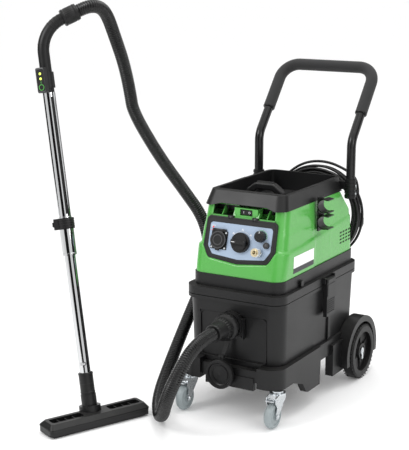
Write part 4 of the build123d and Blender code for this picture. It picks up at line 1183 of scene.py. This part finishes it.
def build_lower_wand():
    """Rings of the elbow and the snap button of the lower tube."""
    axis = WAND.to_3x3() @ Vector((0, 0, 1))
    facing = facing_angle()
    elbow = Form()
    for s, r in ((40, 21.3), (92, 21.3)):
        elbow.turned([(20.4, 0), (r, 0.8), (r, 3.4), (20.4, 4.2)],
                     WAND @ Vector((0, 0, s)), axis, 40, False)
    elbow.turned([(20.4, 0), (20.9, 0.6), (20.9, 1.2), (20.4, 1.8)],
                 WAND @ Vector((0, 0, 66)), axis, 40, False)
    elbow.done("elbow_rings", "wand_lower", "black_plastic")
    button = Form()
    way = WAND.to_3x3() @ Vector((math.cos(facing), math.sin(facing), 0))
    start = WAND @ Vector((0, 0, 124)) + way * 15.2
    button.turned([(5.6, 0), (5.6, 0.9), (4.6, 1.2)], start, way, 32)
    button.done("snap_plate", "wand_lower", "chrome", "mark_dark")
    button = Form()
    button.turned([(3.4, 0.8), (3.2, 2.2), (2.0, 3.0), (0.3, 3.3)], start, way, 32)
    button.done("snap_button", "wand_lower", "chrome")


def build_tool():
    """Bristles, pocket linings and edge seams of the floor tool."""
    seam = Form()
    outline = rounded(-160.6, 160.6, -38.6, 38.6, 12.6)
    seam.rings([[TOOL @ Vector((u, v, 21.4)) for u, v in outline],
                [TOOL @ Vector((u * 1.003, v * 1.01, 22.0)) for u, v in outline],
                [TOOL @ Vector((u * 1.003, v * 1.01, 24.6)) for u, v in outline],
                [TOOL @ Vector((u, v, 25.4)) for u, v in outline]], False)
    seam.done("tool_bumper", "tool", "black_plastic")
    pockets = Form()
    for side in (-1, 1):
        pockets.slab(rounded(side * 92 - 49.5, side * 92 + 49.5, -14.5, 14.5, 8), TOOL, 25.8, 26.6, 0.3)
        for k in (-1, 0, 1):
            pockets.slab(rounded(side * 92 + 24 * k - 1.2, side * 92 + 24 * k + 1.2, -14, 14, 1), TOOL, 26, 34, 0.6)
    pockets.done("tool_pockets", "tool", "black_plastic")
    tufts = Form()
    for side in (-1, 1):
        for k in range(74):
            u = -146 + 4 * k
            v = side * (27 + 0.5 * math.sin(2.3 * k))
            tufts.turned([(1.8, 6.6), (1.7, 3), (1.4, 0.4)], TOOL @ Vector((u, v, 0)), (0, 0, 1), 6)
    tufts.done("tool_bristles", "tool", "black_plastic", "bristle")


# ---- the add-on ----

class ShopVacSizes(bpy.types.PropertyGroup):
    hose_rib_pitch: bpy.props.FloatProperty(
        name="Hose rib pitch", description="Distance between two ribs of the hose",
        default=0.0062, unit="LENGTH")
    hose_rib_depth: bpy.props.FloatProperty(
        name="Hose rib depth", description="How deep the hose's grooves are",
        default=0.0020, unit="LENGTH")
    crease: bpy.props.FloatProperty(
        name="Crease", description="How far the cover's crease stands out",
        default=0.0070, unit="LENGTH")
    cable_turns: bpy.props.IntProperty(
        name="Cable turns", description="Whole turns of the mains cable in its coil", default=8)


def colour_of(slot):
    for entry in frame["record"]["materials"]:
        if entry["slot"] == slot:
            return tuple(entry["base_color"][:3])
    raise ValueError(f"the record has no material slot {slot}")


def colour_property(name, slot):
    return bpy.props.FloatVectorProperty(
        name=name, description=f"Colour of the {name.lower()}", subtype="COLOR",
        default=colour_of(slot), min=0.0, max=1.0)


class ShopVacColours(bpy.types.PropertyGroup):
    black: colour_property("Black plastic", "black_plastic")
    green: colour_property("Green cover", "green_plastic")
    bezel: colour_property("Panel bezel", "bezel_plastic")
    foil: colour_property("Panel foil", "panel_foil")
    foam: colour_property("Foam grip", "foam")
    chrome: colour_property("Wand tube", "chrome")
    zinc: colour_property("Zinc plating", "zinc")
    tread: colour_property("Caster tread", "caster_tread")
    room_light: bpy.props.FloatProperty(
        name="Room light", description="Strength of the light from all round", default=1.0)


class ShopVacFinishes(bpy.types.Operator):
    """Makes the finishes and gives each node of the frame its own."""
    bl_idname = "shopvac.finishes"
    bl_label = "Finishes"

    def execute(self, context):
        make_finishes(context.scene.shopvac_colours)
        dress_nodes()
        return {"FINISHED"}


class ShopVacStage(bpy.types.Operator):
    """Adds the camera, the lights and the floor."""
    bl_idname = "shopvac.stage"
    bl_label = "Stage"

    def execute(self, context):
        build_stage(context.scene.shopvac_colours)
        return {"FINISHED"}


class ShopVacHose(bpy.types.Operator):
    """Adds the ribbed suction hose."""
    bl_idname = "shopvac.hose"
    bl_label = "Suction hose"

    def execute(self, context):
        build_hose(context.scene.shopvac_sizes)
        return {"FINISHED"}


class ShopVacCable(bpy.types.Operator):
    """Adds the mains cable and its coil."""
    bl_idname = "shopvac.cable"
    bl_label = "Mains cable"

    def execute(self, context):
        build_cable(context.scene.shopvac_sizes)
        return {"FINISHED"}


class ShopVacCover(bpy.types.Operator):
    """Adds the creased shell, vents, label and ribs of the green cover."""
    bl_idname = "shopvac.cover"
    bl_label = "Green cover"

    def execute(self, context):
        build_cover(context.scene.shopvac_sizes)
        return {"FINISHED"}


class ShopVacPanel(bpy.types.Operator):
    """Adds the marks, lamps, screws and rings of the control panel."""
    bl_idname = "shopvac.panel"
    bl_label = "Control panel"

    def execute(self, context):
        build_panel()
        return {"FINISHED"}


class ShopVacTray(bpy.types.Operator):
    """Adds the ribs of the tray and of its carrying handle."""
    bl_idname = "shopvac.tray"
    bl_label = "Storage tray"

    def execute(self, context):
        build_tray()
        return {"FINISHED"}


class ShopVacHandle(bpy.types.Operator):
    """Adds the rings and bolts of the push handle."""
    bl_idname = "shopvac.handle"
    bl_label = "Push handle"

    def execute(self, context):
        build_handle()
        return {"FINISHED"}


class ShopVacTank(bpy.types.Operator):
    """Adds the beads, ribs, inlet grips and latches of the tank."""
    bl_idname = "shopvac.tank"
    bl_label = "Tank"

    def execute(self, context):
        build_tank()
        build_inlet()
        build_latches()
        return {"FINISHED"}


class ShopVacWheels(bpy.types.Operator):
    """Adds the tread, spokes, rims and nuts of the wheels."""
    bl_idname = "shopvac.wheels"
    bl_label = "Wheels"

    def execute(self, context):
        build_wheels()
        return {"FINISHED"}


class ShopVacWand(bpy.types.Operator):
    """Adds the seams, rings and lamps of the wand."""
    bl_idname = "shopvac.wand"
    bl_label = "Wand"

    def execute(self, context):
        build_wand()
        build_lower_wand()
        return {"FINISHED"}


class ShopVacTool(bpy.types.Operator):
    """Adds the bumper, pockets and bristles of the floor tool."""
    bl_idname = "shopvac.tool"
    bl_label = "Floor tool"

    def execute(self, context):
        build_tool()
        return {"FINISHED"}


OPERATORS = (ShopVacFinishes, ShopVacStage, ShopVacHose, ShopVacCable, ShopVacCover, ShopVacPanel,
             ShopVacTray, ShopVacHandle, ShopVacTank, ShopVacWheels, ShopVacWand, ShopVacTool)


class ShopVacSidebar(bpy.types.Panel):
    """Lists the machine's parts in the sidebar."""
    bl_idname = "VIEW3D_PT_shopvac"
    bl_label = "Shop vacuum"
    bl_space_type = "VIEW_3D"
    bl_region_type = "UI"
    bl_category = "Shop vacuum"

    def draw(self, context):
        for group in (context.scene.shopvac_sizes, context.scene.shopvac_colours):
            for name in group.__annotations__:
                self.layout.prop(group, name)
        for operator in OPERATORS:
            self.layout.operator(operator.bl_idname)


CLASSES = (ShopVacSizes, ShopVacColours) + OPERATORS + (ShopVacSidebar,)


def register():
    for cls in CLASSES:
        bpy.utils.register_class(cls)
    bpy.types.Scene.shopvac_sizes = bpy.props.PointerProperty(type=ShopVacSizes)
    bpy.types.Scene.shopvac_colours = bpy.props.PointerProperty(type=ShopVacColours)


def unregister():
    del bpy.types.Scene.shopvac_colours
    del bpy.types.Scene.shopvac_sizes
    for cls in reversed(CLASSES):
        bpy.utils.unregister_class(cls)


def main():
    register()
    bpy.ops.shopvac.finishes()
    bpy.ops.shopvac.stage()
    bpy.ops.shopvac.hose()
    bpy.ops.shopvac.cable()
    bpy.ops.shopvac.cover()
    bpy.ops.shopvac.panel()
    bpy.ops.shopvac.tray()
    bpy.ops.shopvac.handle()
    bpy.ops.shopvac.tank()
    bpy.ops.shopvac.wheels()
    bpy.ops.shopvac.wand()
    bpy.ops.shopvac.tool()


if __name__ == "__main__":
    main()
